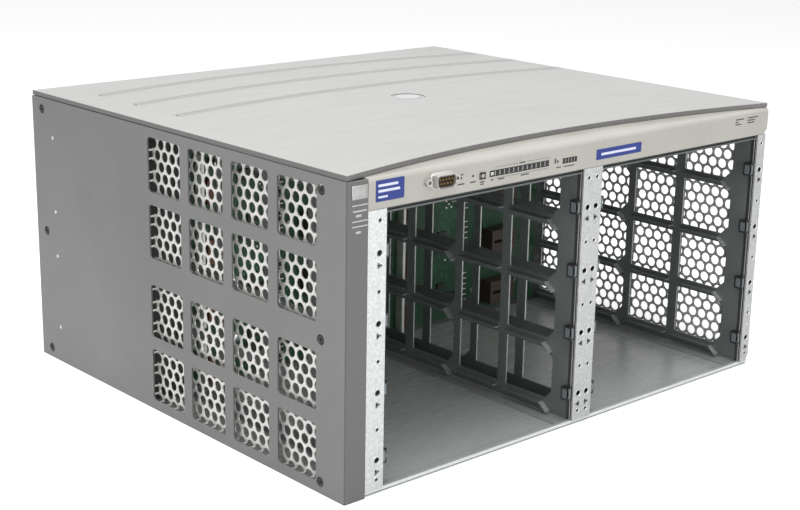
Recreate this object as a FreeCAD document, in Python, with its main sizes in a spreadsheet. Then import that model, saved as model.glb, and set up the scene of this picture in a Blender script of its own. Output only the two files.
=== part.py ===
"""Modular chassis switch: an empty eight-slot rack chassis, in millimetres.

Every piece is drawn with X across the front, Y running back from the front plane and Z up from
the ground.  Each finished piece is then moved forward by half the depth, so the frame's origin
lies on the ground under the middle of the case, and the open front faces -Y.
"""
import FreeCAD
import Part
import Sketcher
import math
import os
import re

SIZES = {
    # case
    "width": 442, "height": 222, "depth": 394, "gauge": 1.2, "seat": 0.1,
    "floor_gauge": 1.5, "hem_depth": 3, "hem_height": 4, "tail_height": 6.5,
    "cover_drop": 4, "column_width": 17.7, "corner_cut": 4,
    # side windows and the perforated screens behind them
    "window_long": 41.5, "window_start": 30, "window_step": 51.6, "window_low": 7.5,
    "window_high": 6.9, "window_pair_gap": 9.6, "window_mid_gap": 20.4,
    "screen_stand": 4.4, "screen_gauge": 0.8, "screen_margin": 1.2, "mesh_radius": 9,
    "mesh_across": 10.2, "mesh_up": 9.3, "peek_back": 7, "peek_down": 4.1, "peek_tall": 2,
    # fasteners of the side covers
    "screw_front": 25.5, "screw_back": 14.7, "screw_low": 8.4, "screw_high": 9,
    "screw_head": 2.7, "screw_shank": 1.5, "screw_length": 3.2, "screw_sink": 0.3,
    "rivet_back": 30, "rivet_low": 29.9, "rivet_high": 30.3, "rivet_gap": 60.5,
    "rivet_radius": 1.6, "rivet_length": 3,
    # slots
    "slot_low": 3.5, "slot_rows": 4, "left_strip": 15.7, "right_strip": 10.5,
    "divider": 20, "strip_low": 3.6,
    "return_depth": 6, "right_corner": 5,
    "dot_radius": 1.2, "dot_rise": 43.1, "dot_first": 7.4, "tap_radius": 2.1, "tap_rise": 21.3,
    "tap_inset": 5.6, "mark_rise": 12.9, "mark_size": 3.2,
    # card walls, their openings and guides
    "wall_end": 6, "wall_gap": 8, "foot_width": 12, "foot_hole": 1.6,
    "foot_holes": 3, "foot_inset": 8.4,
    "foot_hole_start": 60, "foot_hole_step": 77, "pane_start": 22, "pane_long": 48,
    "pane_gap": 9, "pane_short": 43, "pane_group": 107.5, "pane_rise": 2.8, "pane_web": 7.75,
    "pane_cut": 7, "guide_low": 10, "guide_width": 5, "guide_start": 30, "guide_lead": 7,
    "guide_drop": 5.5, "catch_wide": 4.5, "catch_deep": 7, "catch_tall": 10, "catch_low": 16.8,
    "catch_notch": 3, "catch_front": 1.3,
    # bezel and the rail behind it
    "bezel_drop": 3.7, "bezel_tall": 21, "bezel_wall": 2.5, "bezel_reach": 34,
    "bezel_round": 3.5, "bezel_cut": 4, "bezel_gap": 0.3, "rail_lip": 3.4, "rail_tall": 7.9,
    "rail_hide": 0.9,
    # lid
    "lid_lip": 3.4, "lid_side": 0.8, "arc_middle": 27, "arc_radius": 950, "bead_half": 2.8,
    "bead_crest": 1.2, "bead_span": 36, "bead_rise": 0.7, "bead_left": 31, "bead_right": 8,
    "bead_first": 142, "bead_second": 85, "bead_third": 34,
    "dimple_x": 5, "dimple_y": 3, "dimple_radius": 14, "dimple_sink": 0.5,
    # controls in the bezel, measured from a line that keeps its distance to the divider
    "controls_left": 204, "port_x": 62.6, "port_z": 11.5, "port_long": 16.9,
    "port_short": 15.1, "port_tall": 8.4,
    "port_reach": 5.9, "port_wall": 0.5, "port_flange_long": 30.8, "port_flange_tall": 12.5,
    "post_offset": 12.5, "post_across": 2.7, "post_reach": 3, "post_bore": 1.3,
    "insert_reach": 0.4, "pin_radius": 0.5, "pin_step": 2.77, "pin_row": 2.84,
    "pin_tip": 4.6, "board_front": 10, "board_gauge": 1.6, "board_left": 39,
    "board_long": 160.2, "board_low": 4.7, "board_tall": 12,
    "mode_x": 100.75, "mode_z": 9.1, "mode_long": 5.1, "mode_tall": 3.9, "mode_proud": 0.8,
    "collar": 0.8, "button_end": 6, "switch_gap": 0.6, "switch_half": 3,
    "button_fit": 0.15, "reset_x": 81, "clear_x": 92.1, "pin_z": 10.1, "pin_button": 0.9,
    "pin_sink": 0.8,
    "lamp_left": 107.6, "lamp_long": 53.7, "lamp_low": 7, "lamp_tall": 4.4, "lamp_rows": 12,
    "lamp_cell": 3, "lamp_cut": 0.5, "lamp_box": 5, "pick_left": 180, "pick_long": 15.5,
    "pick_low": 6.7, "pick_tall": 3.9,
    # backplane
    "bulkhead_front": 238, "plane_gauge": 2, "plane_margin": 3, "plane_low": 6,
    "plane_high": 12, "socket_x": 115, "socket_long": 30, "socket_tall": 21,
    "socket_reach": 14, "socket_low": 0.5, "socket_slot": 3, "board_screw": 2.5,
    # rear: fans and power supplies
    "fan_size": 92, "fan_depth": 25, "fan_bore": 43.5, "fan_drop": 77, "fan_margin": 22,
    "hub_radius": 19, "strut": 6, "strut_depth": 4, "hub_gap": 0.5,
    "blade_tip": 41.5, "blade_gauge": 1.5, "blade_chord": 17, "blade_angle": 38,
    "hub_boss": 3, "hub_rise": 1,
    "grille_cell": 12.6, "grille_pitch": 25,
    "supply_width": 150, "supply_height": 61, "supply_gap": 8.8, "supply_low": 7,
    "supply_margin": 232, "supply_rim": 5, "supply_plate": 1.5, "supply_fit": 0.5,
    "handle_long": 70, "handle_reach": 22, "handle_bar": 4, "handle_rise": 48,
    "inlet_shift": 42, "inlet_rise": 24, "inlet_long": 27, "inlet_tall": 20, "inlet_depth": 17,
    "inlet_wall": 1.8, "inlet_pin": 2, "vent_step": 6, "vent_long": 26, "vent_rows": 6,
    "supply_screw": 4.5,
    "main_low": 74, "main_half": 180, "main_end": 36, "sink_half": 21, "sink_tall": 14,
    "fin_step": 5, "fin_cut": 3, "fin_gaps": 7, "sink_step": 110, "sink_count": 3,
}

doc = FreeCAD.newDocument("chassis_switch")
sheet = doc.addObject("Spreadsheet::Sheet", "sizes")
for row, (alias, number) in enumerate(SIZES.items(), 1):
    sheet.set("A%d" % row, alias)
    sheet.set("B%d" % row, str(number))
    sheet.setAlias("B%d" % row, alias)
doc.recompute()
nodes = []
FANS = 3
BLADES = 7
SUPPLIES = 2


# ---- expressions, placing and keeping -----------------------------------------------------

def from_sheet(expression):
    """Turn plain size names into references to the sheet."""
    return re.sub(r"[a-z_]{2,}", lambda name: "sizes." + name.group(0), expression)


def value(expression):
    """The present number of an expression of size names."""
    return float(sheet.evalExpression(from_sheet(expression)))


def bind(thing, **expressions):
    """Tie properties to the sheet; a double underscore stands for a dot."""
    for name, expression in expressions.items():
        thing.setExpression(name.replace("__", "."), from_sheet(expression))
    return thing


def place(thing, across="0", back="0", up="0"):
    return bind(thing, Placement__Base__x=across, Placement__Base__y=back,
                Placement__Base__z=up)


def keep(thing, name):
    """Finish a sub-part: name it, and move it forward by half the depth."""
    thing.Label = name
    bind(thing, Placement__Base__y="-depth / 2")
    nodes.append(thing)
    return thing


# ---- sketches and PartDesign features -----------------------------------------------------

def new_body(name):
    return doc.addObject("PartDesign::Body", name + "_body")


def sketch_on(body, role, offset="0"):
    sketch = body.newObject("Sketcher::SketchObject", "outline")
    plane = next(item for item in body.Origin.OriginFeatures if item.Role == role)
    sketch.AttachmentSupport = [(plane, "")]
    sketch.MapMode = "FlatFace"
    bind(sketch, AttachmentOffset__Base__z=offset)
    return sketch


def tie(sketch, *ties):
    """Measure points from the origin; a tie is a kind, a line or circle, an end, a size."""
    first = sketch.ConstraintCount
    sketch.addConstraint([Sketcher.Constraint(kind, -1, 1, element, end, value(size))
                          for kind, element, end, size in ties])
    for index, (_, _, _, size) in enumerate(ties):
        sketch.setExpression("Constraints[%d]" % (first + index), from_sheet(size))


def loop(sketch, points):
    """A closed outline of straight edges through points given as pairs of expressions."""
    corners = [FreeCAD.Vector(value(right), value(up), 0) for right, up in points]
    first = sketch.GeometryCount
    count = len(points)
    sketch.addGeometry([Part.LineSegment(corners[index], corners[(index + 1) % count])
                        for index in range(count)])
    sketch.addConstraint([
        Sketcher.Constraint("Coincident", first + index, 2, first + (index + 1) % count, 1)
        for index in range(count)])
    tie(sketch, *[("Distance" + way, first + index, 1, size)
                  for index, point in enumerate(points) for way, size in zip("XY", point)])


def rectangle(sketch, right, up, long, tall):
    far = "%s + %s" % (right, long)
    top = "%s + %s" % (up, tall)
    loop(sketch, [(right, up), (far, up), (far, top), (right, top)])


def circle(sketch, right, up, radius):
    centre = FreeCAD.Vector(value(right), value(up), 0)
    index = sketch.addGeometry(Part.Circle(centre, FreeCAD.Vector(0, 0, 1), value(radius)))
    tie(sketch, ("DistanceX", index, 3, right), ("DistanceY", index, 3, up))
    size = sketch.addConstraint(Sketcher.Constraint("Radius", index, value(radius)))
    sketch.setExpression("Constraints[%d]" % size, from_sheet(radius))


def polygon(sketch, right, up, radius, sides):
    """A small hole with few sides; its first corner points right."""
    loop(sketch, [("%s + (%s) * %.5f" % (right, radius, math.cos(2 * math.pi * step / sides)),
                   "%s + (%s) * %.5f" % (up, radius, math.sin(2 * math.pi * step / sides)))
                  for step in range(sides)])


def pad(body, sketch, length, reverse=False, centred=False):
    feature = body.newObject("PartDesign::Pad", "Pad")
    feature.Profile = sketch
    feature.SideType = "Symmetric" if centred else "One side"
    feature.Reversed = reverse
    return bind(feature, Length=length)


def cut_through(body, sketch):
    feature = body.newObject("PartDesign::Pocket", "Pocket")
    feature.Profile = sketch
    feature.Type = "ThroughAll"
    feature.SideType = "Symmetric"
    return feature


def cut_depth(body, sketch, length, reverse=False):
    feature = body.newObject("PartDesign::Pocket", "Pocket")
    feature.Profile = sketch
    feature.Reversed = reverse
    return bind(feature, Length=length)


def repeat(body, feature, sketch, *steps):
    """Repeat a feature along the sketch's axes; a step is an axis, a spacing and a count."""
    many = body.newObject("PartDesign::MultiTransform", "Pattern")
    many.Originals = [feature]
    patterns = []
    for axis, spacing, count in steps:
        pattern = body.newObject("PartDesign::LinearPattern", "Step")
        pattern.Direction = (sketch, [axis])
        pattern.Mode = "Spacing"
        bind(pattern, Offset=spacing, Occurrences=count)
        patterns.append(pattern)
    many.Transformations = patterns
    body.Tip = many
    return many


# ---- Part primitives ----------------------------------------------------------------------

TURNS = {"x": (FreeCAD.Vector(0, 1, 0), 90), "y": (FreeCAD.Vector(1, 0, 0), -90),
         "z": (FreeCAD.Vector(0, 0, 1), 0)}


def box(long, deep, tall, across, back, up):
    block = doc.addObject("Part::Box", "Block")
    bind(block, Length=long, Width=deep, Height=tall)
    return place(block, across, back, up)


def rod(radius, length, across, back, up, axis="y"):
    """A cylinder that starts at a point and runs along +X, +Y or +Z."""
    cylinder = doc.addObject("Part::Cylinder", "Rod")
    bind(cylinder, Radius=radius, Height=length)
    cylinder.Placement.Rotation = FreeCAD.Rotation(*TURNS[axis])
    return place(cylinder, across, back, up)


def peg(sides, radius, length, across, back, up, axis="y"):
    """A straight bar with few sides, for small fasteners; radius is out to its corners."""
    prism = doc.addObject("Part::Prism", "Peg")
    prism.Polygon = sides
    bind(prism, Circumradius=radius, Height=length)
    prism.Placement.Rotation = FreeCAD.Rotation(*TURNS[axis])
    return place(prism, across, back, up)


def fuse(*shapes):
    joined = doc.addObject("Part::MultiFuse", "Join")
    joined.Shapes = list(shapes)
    return joined


def cut(base, tool):
    difference = doc.addObject("Part::Cut", "Difference")
    difference.Base = base
    difference.Tool = tool
    return difference


def common(base, tool):
    shared = doc.addObject("Part::Common", "Shared")
    shared.Base = base
    shared.Tool = tool
    return shared


def group(shapes):
    gathered = doc.addObject("Part::Compound", "Group")
    gathered.Links = list(shapes)
    return gathered


# ---- places that several pieces share -----------------------------------------------------

INNER_HALF = "(width / 2 - gauge - seat)"
COLUMN_EDGE = "(column_width - width / 2)"
BEZEL_LEFT = "(column_width - width / 2 + seat)"
LEFT_BAY = "(column_width - width / 2 + left_strip)"
RIGHT_BAY = "(%s - right_strip)" % INNER_HALF
BAY_WIDTH = "((%s - %s - divider) / 2)" % (RIGHT_BAY, LEFT_BAY)
DIVIDER_LEFT = "(%s + %s)" % (LEFT_BAY, BAY_WIDTH)
DIVIDER_RIGHT = "(%s + divider)" % DIVIDER_LEFT
COVER_TOP = "(height - cover_drop)"
BEHIND_STRIPS = "(gauge + seat)"
BEZEL_HIGH = "(height - bezel_drop)"
BEZEL_LOW = "(height - bezel_drop - bezel_tall)"
STRIP_TOP = "(%s - bezel_gap)" % BEZEL_LOW
RAIL_LOW = "(%s - rail_lip)" % STRIP_TOP
RAIL_HIGH = "(%s + rail_tall)" % RAIL_LOW
SLOT_PITCH = "((%s + rail_hide - slot_low) / slot_rows)" % RAIL_LOW
WALL_TOP = "(height - wall_gap)"
WALL_END = "(bulkhead_front - wall_end)"
WINDOW_TALL = ("((%s - window_low - window_high - 2 * window_pair_gap - window_mid_gap) / 4)"
               % COVER_TOP)
WINDOW_RISE = "(%s + window_pair_gap)" % WINDOW_TALL
WINDOW_GROUP = "(2 * %s + window_pair_gap + window_mid_gap)" % WINDOW_TALL
PEEK_LOW = "(guide_low + gauge + pane_rise - peek_down)"
PEEK_TALL = "(%s - pane_web + peek_tall)" % SLOT_PITCH
FAN_RISE = "(height - fan_drop)"
BOARD_FRONT = "(bulkhead_front - plane_gauge)"
FAN_STEP = "((width - fan_margin) / %d)" % FANS
SUPPLY_STEP = "(width - supply_margin)"
SUPPLY_LENGTH = "(depth - bulkhead_front - gauge - supply_gap)"
CONTROLS_LEFT = "(%s - controls_left)" % DIVIDER_LEFT
PORT_X = "(%s + port_x)" % CONTROLS_LEFT
PORT_Z = "(%s + port_z)" % BEZEL_LOW
MODE_X = "(%s + mode_x)" % CONTROLS_LEFT
MODE_Z = "(%s + mode_z)" % BEZEL_LOW
RESET_X = "(%s + reset_x)" % CONTROLS_LEFT
CLEAR_X = "(%s + clear_x)" % CONTROLS_LEFT
PIN_Z = "(%s + pin_z)" % BEZEL_LOW
LAMP_LEFT = "(%s + lamp_left)" % CONTROLS_LEFT
LAMP_LOW = "(%s + lamp_low)" % BEZEL_LOW
PICK_LEFT = "(%s + pick_left)" % CONTROLS_LEFT
PICK_LOW = "(%s + pick_low)" % BEZEL_LOW
SCREW_STEP = "((%s - screw_high - screw_low) / 2)" % COVER_TOP
RIVET_STEP = "(%s - rivet_high - rivet_gap - rivet_low)" % COVER_TOP
SCREW_PLACES = [(back, "screw_low + %d * %s" % (row, SCREW_STEP))
                for back in ("screw_front", "depth - screw_back") for row in range(3)]
RIVET_HEIGHTS = ["rivet_low + %d * rivet_gap + %d * %s" % (lower, upper, RIVET_STEP)
                 for upper in range(2) for lower in range(2)]
CARD_WALLS = {
    "left_card_wall": (LEFT_BAY, 1),
    "divider_left_wall": (DIVIDER_LEFT, -1),
    "divider_right_wall": (DIVIDER_RIGHT, 1),
    "right_card_wall": (RIGHT_BAY, -1),
}


# ---- outer case ---------------------------------------------------------------------------

def base_tray():
    """Floor sheet with a closed hem at the front and an upturned flange at the back."""
    body = new_body("base_tray")
    section = sketch_on(body, "YZ_Plane")
    front = BEHIND_STRIPS
    back = "depth - gauge - seat"
    loop(section, [(front, "0"), (back, "0"), (back, "tail_height"),
                   (back + " - floor_gauge", "tail_height"), (back + " - floor_gauge",
                   "floor_gauge"), (front + " + hem_depth", "floor_gauge"),
                   (front + " + hem_depth", "hem_height - seat"),
                   (front, "hem_height - seat")])
    pad(body, section, "2 * " + INNER_HALF, centred=True)
    keep(body, "base_tray")


def window_field(side):
    """Windows of one side cover, the steps that repeat them, and the field they fill.

    The windows on the right stand behind the openings of the card wall.
    """
    if side < 0:
        return ([("window_start", "window_low", "window_long", WINDOW_TALL)],
                [("H_Axis", "window_step", "4"), ("V_Axis", WINDOW_RISE, "2"),
                 ("V_Axis", WINDOW_GROUP, "2")],
                ("window_start", "window_low", "3 * window_step + window_long",
                 "%s + %s + %s" % (WINDOW_RISE, WINDOW_GROUP, WINDOW_TALL)))
    first = "pane_start + peek_back"
    second = first + " + pane_long + pane_gap"
    return ([(first, PEEK_LOW, "pane_long", PEEK_TALL),
             (second, PEEK_LOW, "pane_short", PEEK_TALL)],
            [("H_Axis", "pane_group", "2"), ("V_Axis", SLOT_PITCH, "slot_rows")],
            (first, PEEK_LOW, "pane_group + pane_long + pane_gap + pane_short",
             "(slot_rows - 1) * %s + %s" % (SLOT_PITCH, PEEK_TALL)))


def cover_cuts(body, side):
    """Windows, screw holes and rivet holes of one side cover."""
    windows, steps, _ = window_field(side)
    window = sketch_on(body, "YZ_Plane")
    for place_and_size in windows:
        rectangle(window, *place_and_size)
    first = cut_through(body, window)
    repeat(body, first, window, *steps)
    screw = sketch_on(body, "YZ_Plane")
    polygon(screw, "screw_front", "screw_low", "screw_head + seat", 8)
    first = cut_through(body, screw)
    repeat(body, first, screw, ("H_Axis", "depth - screw_back - screw_front", "2"),
           ("V_Axis", SCREW_STEP, "3"))
    rivet = sketch_on(body, "YZ_Plane")
    polygon(rivet, "depth - rivet_back", "rivet_low", "rivet_radius", 8)
    first = cut_through(body, rivet)
    repeat(body, first, rivet, ("V_Axis", "rivet_gap", "2"), ("V_Axis", RIVET_STEP, "2"))
    corner = sketch_on(body, "YZ_Plane")
    loop(corner, [("depth - corner_cut", "0"), ("depth", "0"), ("depth", "corner_cut")])
    cut_through(body, corner)


def left_side_cover():
    """Outer left sheet, folded round the front into the wide column."""
    body = new_body("left_side_cover")
    plan = sketch_on(body, "XY_Plane")
    loop(plan, [("-width / 2", "0"), (COLUMN_EDGE, "0"), (COLUMN_EDGE, "gauge"),
                ("gauge - width / 2", "gauge"), ("gauge - width / 2", "depth"),
                ("-width / 2", "depth")])
    pad(body, plan, COVER_TOP)
    cover_cuts(body, -1)
    keep(body, "left_side_cover")


def right_side_cover():
    """Outer right sheet; its front edge stops behind the end of the bezel."""
    body = new_body("right_side_cover")
    plan = sketch_on(body, "XY_Plane")
    front = "bezel_wall + seat"
    loop(plan, [("width / 2 - gauge", front), ("width / 2", front), ("width / 2", "depth"),
                ("width / 2 - gauge", "depth")])
    pad(body, plan, COVER_TOP)
    cover_cuts(body, 1)
    keep(body, "right_side_cover")


def cover_fasteners(name, side):
    """Screws and flush rivets of one side cover; side is -1 on the left, 1 on the right."""
    inward = "-1" if side > 0 else "1"
    head_start = "%d * (width / 2 - screw_sink)" % side
    head_end = "%s + %s * (gauge - screw_sink)" % (head_start, inward)
    pieces = []
    for back, up in SCREW_PLACES:
        left = head_start if side < 0 else head_end
        head = peg(8, "screw_head", "gauge - screw_sink", left, back, up, "x")
        left = head_end if side < 0 else head_end + " - screw_length"
        shank = peg(8, "screw_shank", "screw_length", left, back, up, "x")
        pieces.append(fuse(head, shank))
    keep(group(pieces), name + "_cover_screws")
    rivets = []
    for up in RIVET_HEIGHTS:
        left = "-width / 2" if side < 0 else "width / 2 - rivet_length"
        rivets.append(peg(8, "rivet_radius", "rivet_length", left, "depth - rivet_back", up,
                          "x"))
    keep(group(rivets), name + "_cover_rivets")


def vent_screen(name, side):
    """Bright perforated sheet in a shallow tray whose rim stands against the side cover."""
    body = new_body(name)
    rim = "%d * (width / 2 - gauge)" % side
    windows, steps, field = window_field(side)
    front, low = (edge + " - screen_margin" for edge in field[:2])
    long, tall = (size + " + 2 * screen_margin" for size in field[2:])
    tray = sketch_on(body, "YZ_Plane", rim)
    rectangle(tray, front, low, long, tall)
    pad(body, tray, "screen_stand", reverse=side > 0)
    hollow = sketch_on(body, "YZ_Plane", rim)
    rectangle(hollow, front + " + screen_gauge", low + " + screen_gauge",
              long + " - 2 * screen_gauge", tall + " - 2 * screen_gauge")
    cut_depth(body, hollow, "screen_stand - screen_gauge", reverse=side < 0)
    mesh = sketch_on(body, "YZ_Plane")
    for start, foot, wide, high in windows:
        for right, up in ((0, 1), (-1, -1), (1, -1)):
            polygon(mesh, "%s + %s / 2 + %d * mesh_across" % (start, wide, right),
                    "%s + %s / 2 + %d * mesh_up" % (foot, high, up), "mesh_radius", 6)
    first = cut_through(body, mesh)
    repeat(body, first, mesh, *steps)
    keep(body, name)


def top_cover():
    """Lid: a shallow tray of sheet with a hollow-curved front and three long curved beads."""
    side = "(width / 2 - lid_side)"
    top = "height - lid_lip"
    centre = "arc_middle - arc_radius"
    plate = box("2 * " + side, "depth", "lid_lip", "-" + side, "0", top)
    front = rod("arc_radius", "lid_lip * 3", "0", centre, "height - 2 * lid_lip", "z")
    hollow = box("2 * %s - 2 * gauge" % side, "depth - gauge", "lid_lip - gauge",
                 "gauge - " + side, "0", top)
    inner = rod("arc_radius + gauge", "lid_lip * 3", "0", centre, "height - 2 * lid_lip", "z")
    tray = cut(cut(plate, front), cut(hollow, inner))
    beads = []
    for inset in ("bead_first", "bead_second", "bead_third"):
        middle = "depth - " + inset
        rings = []
        for slope in ("+", "-"):
            ring = doc.addObject("Part::Cone", "Bead")
            bind(ring, Radius1="arc_radius %s bead_half" % slope,
                 Radius2="arc_radius %s bead_crest" % slope, Height="bead_rise + gauge / 2")
            rings.append(place(ring, "0", middle + " - arc_radius", "height - gauge / 2"))
        span = box("width - bead_left - bead_right", "bead_span", "bead_rise + gauge",
                   "bead_left - width / 2", middle + " + bead_half - bead_span",
                   "height - gauge / 2")
        beads.append(common(cut(*rings), span))
    dimple = peg(24, "dimple_radius", "dimple_sink", "dimple_x", "depth / 2 - dimple_y",
                 "height - dimple_sink", "z")
    keep(cut(fuse(tray, *beads), dimple), "top_cover")


# ---- front strips and rail ----------------------------------------------------------------

def punch_columns(body, columns):
    """Holes of the module screws and small marks; a column is a place and a pointing side."""
    holes = sketch_on(body, "XZ_Plane")
    for across, pointing in columns:
        circle(holes, across, "slot_low + tap_rise", "tap_radius")
        polygon(holes, across, "slot_low + dot_rise", "dot_radius", 6)
        tip = "%s + %d * mark_size / 2" % (across, pointing)
        root = "%s - %d * mark_size / 2" % (across, pointing)
        middle = "slot_low + mark_rise"
        loop(holes, [(root, middle + " - mark_size / 2"), (tip, middle),
                     (root, middle + " + mark_size / 2")])
    first = cut_through(body, holes)
    repeat(body, first, holes, ("V_Axis", SLOT_PITCH, "slot_rows"))
    lowest = sketch_on(body, "XZ_Plane")
    for across, pointing in columns:
        polygon(lowest, across, "slot_low + dot_first", "dot_radius", 6)
    cut_through(body, lowest)


def strip_body(name, left, right, returns):
    """Galvanized front strip with folded returns; returns are -1 for left, 1 for right."""
    body = new_body(name)
    face = sketch_on(body, "XZ_Plane")
    rectangle(face, left, "strip_low", "%s - %s" % (right, left), STRIP_TOP + " - strip_low")
    pad(body, face, "gauge", reverse=True)
    for side in returns:
        edge = left if side < 0 else right + " - gauge"
        fold = sketch_on(body, "XZ_Plane")
        rectangle(fold, edge, "hem_height", "gauge", RAIL_LOW + " - seat - hem_height")
        pad(body, fold, "return_depth", reverse=True)
    return body


def left_front_strip():
    left = COLUMN_EDGE + " + seat"
    body = strip_body("left_front_strip", left, LEFT_BAY, [1])
    punch_columns(body, [(LEFT_BAY + " - tap_inset", 1)])
    keep(body, "left_front_strip")


def centre_front_strip():
    body = strip_body("centre_front_strip", DIVIDER_LEFT, DIVIDER_RIGHT, [-1, 1])
    punch_columns(body, [(DIVIDER_LEFT + " + tap_inset", -1),
                         (DIVIDER_RIGHT + " - tap_inset", 1)])
    keep(body, "centre_front_strip")


def right_front_strip():
    body = strip_body("right_front_strip", RIGHT_BAY, INNER_HALF, [-1])
    punch_columns(body, [(RIGHT_BAY + " + tap_inset", -1)])
    corner = sketch_on(body, "XZ_Plane")
    loop(corner, [(INNER_HALF + " - right_corner", "strip_low"), (INNER_HALF, "strip_low"),
                  (INNER_HALF, "strip_low + right_corner")])
    cut_through(body, corner)
    keep(body, "right_front_strip")


def cross_rail():
    """Rail across both bays behind the bezel; its lower lip shows under the bezel."""
    body = new_body("cross_rail")
    section = sketch_on(body, "YZ_Plane", BEZEL_LEFT)
    back = "return_depth - 2 * seat"
    web = back + " - gauge"
    loop(section, [(BEHIND_STRIPS, RAIL_LOW), (back, RAIL_LOW), (back, RAIL_HIGH),
                   ("bezel_wall + seat", RAIL_HIGH),
                   ("bezel_wall + seat", RAIL_HIGH + " - gauge"),
                   (web, RAIL_HIGH + " - gauge"), (web, RAIL_LOW + " + gauge"),
                   (BEHIND_STRIPS, RAIL_LOW + " + gauge")])
    pad(body, section, "%s - %s" % (INNER_HALF, BEZEL_LEFT))
    keep(body, "cross_rail")


# ---- card walls ---------------------------------------------------------------------------

def card_wall(name, plane, side):
    """Pierced wall of one bay with folded card guides and a foot; side points into the bay."""
    body = new_body(name)
    sheet_edge = "%s - %d * gauge" % (plane, side)
    foot_edge = "%s + %d * foot_width" % (plane, side)
    section = sketch_on(body, "XZ_Plane", "-return_depth")
    loop(section, [(sheet_edge, "floor_gauge"), (foot_edge, "floor_gauge"),
                   (foot_edge, "floor_gauge + gauge"), (plane, "floor_gauge + gauge"),
                   (plane, WALL_TOP), (sheet_edge, WALL_TOP)])
    pad(body, section, WALL_END + " - return_depth", reverse=True)
    panes = sketch_on(body, "YZ_Plane")
    far = "pane_start + pane_long"
    bottom = "guide_low + gauge + pane_rise"
    tall = SLOT_PITCH + " - pane_web"
    top = "%s + %s" % (bottom, tall)
    loop(panes, [("pane_start + pane_cut", bottom), (far, bottom), (far, top),
                 ("pane_start + pane_cut", top), ("pane_start", top + " - pane_cut"),
                 ("pane_start", bottom + " + pane_cut")])
    rectangle(panes, far + " + pane_gap", bottom, "pane_short", tall)
    first = cut_through(body, panes)
    repeat(body, first, panes, ("H_Axis", "pane_group", "2"),
           ("V_Axis", SLOT_PITCH, "slot_rows"))
    guides = sketch_on(body, "YZ_Plane", plane)
    low = "guide_low"
    high = "guide_low + gauge"
    nose = "guide_start - guide_lead"
    loop(guides, [(nose, low + " - guide_drop"), ("guide_start", low), (far, low), (far, high),
                  ("guide_start", high), (nose, high + " - guide_drop")])
    rectangle(guides, far + " + pane_gap", low, "pane_short", "gauge")
    ledge = pad(body, guides, "guide_width", reverse=side < 0)
    repeat(body, ledge, guides, ("H_Axis", "pane_group", "2"),
           ("V_Axis", SLOT_PITCH, "slot_rows"))
    foot = sketch_on(body, "XY_Plane")
    polygon(foot, "%s + %d * foot_inset" % (plane, side), "foot_hole_start", "foot_hole", 6)
    hole = cut_depth(body, foot, "floor_gauge + gauge", reverse=True)
    repeat(body, hole, foot, ("V_Axis", "foot_hole_step", "foot_holes"))
    keep(body, name)


def module_catches(name, plane, side):
    """Four notched clip blocks at the front edge of one card wall."""
    blocks = []
    for row in range(int(value("slot_rows"))):
        up = "slot_low + catch_low + %d * %s" % (row, SLOT_PITCH)
        left = plane if side > 0 else plane + " - catch_wide"
        block = box("catch_wide", "catch_deep", "catch_tall", left, "catch_front", up)
        inside = "%s + %s" % (left, "catch_wide - catch_notch" if side > 0 else "0")
        notch = box("catch_notch", "catch_deep - catch_notch", "catch_tall - 2 * catch_notch",
                    inside, "catch_front", up + " + catch_notch")
        blocks.append(cut(block, notch))
    keep(group(blocks), name)


# ---- bezel and controls -------------------------------------------------------------------

def front_bezel():
    """Moulded bezel: a face wall and a top wall that runs back under the lid."""
    body = new_body("front_bezel")
    section = sketch_on(body, "YZ_Plane", BEZEL_LEFT)
    ceiling = BEZEL_HIGH + " - bezel_wall"
    loop(section, [("0", BEZEL_LOW), ("bezel_wall", BEZEL_LOW), ("bezel_wall", ceiling),
                   ("bezel_reach", ceiling), ("bezel_reach", BEZEL_HIGH), ("0", BEZEL_HIGH)])
    pad(body, section, "width / 2 - " + BEZEL_LEFT)
    shell = body.Tip
    shell.recompute(True)
    edges = shell.Shape.Edges
    top_edge = max(range(len(edges)), key=lambda index: (
        edges[index].BoundBox.XLength + edges[index].BoundBox.ZMin
        - edges[index].BoundBox.YMax))
    rounding = body.newObject("PartDesign::Fillet", "Round")
    rounding.Base = (shell, ["Edge%d" % (top_edge + 1)])
    bind(rounding, Radius="bezel_round")
    body.Tip = rounding
    end = sketch_on(body, "XY_Plane", BEZEL_LOW)
    rectangle(end, INNER_HALF, "bezel_wall", "gauge + seat * 2", "bezel_reach")
    cut_depth(body, end, "bezel_tall + bezel_wall", reverse=True)
    corner = sketch_on(body, "XZ_Plane")
    loop(corner, [("width / 2 - bezel_cut", BEZEL_LOW), ("width / 2", BEZEL_LOW),
                  ("width / 2", BEZEL_LOW + " + bezel_cut")])
    cut_through(body, corner)
    holes = sketch_on(body, "XZ_Plane")
    rectangle(holes, PORT_X + " - port_long / 2 - seat", PORT_Z + " - port_tall / 2 - seat",
              "port_long + 2 * seat", "port_tall + 2 * seat")
    for shift in ("-", "+"):
        polygon(holes, "%s %s post_offset" % (PORT_X, shift), PORT_Z, "post_across", 6)
    rectangle(holes, MODE_X + " - mode_long / 2 - button_fit",
              MODE_Z + " - mode_tall / 2 - button_fit", "mode_long + 2 * button_fit",
              "mode_tall + 2 * button_fit")
    for across in (RESET_X, CLEAR_X):
        polygon(holes, across, PIN_Z, "pin_button + button_fit", 8)
    rectangle(holes, LAMP_LEFT, LAMP_LOW, "lamp_long + lamp_box", "lamp_tall")
    rectangle(holes, PICK_LEFT, PICK_LOW, "pick_long", "pick_tall")
    through = cut_depth(body, holes, "2 * bezel_wall")
    through.SideType = "Symmetric"
    keep(body, "front_bezel")


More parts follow.
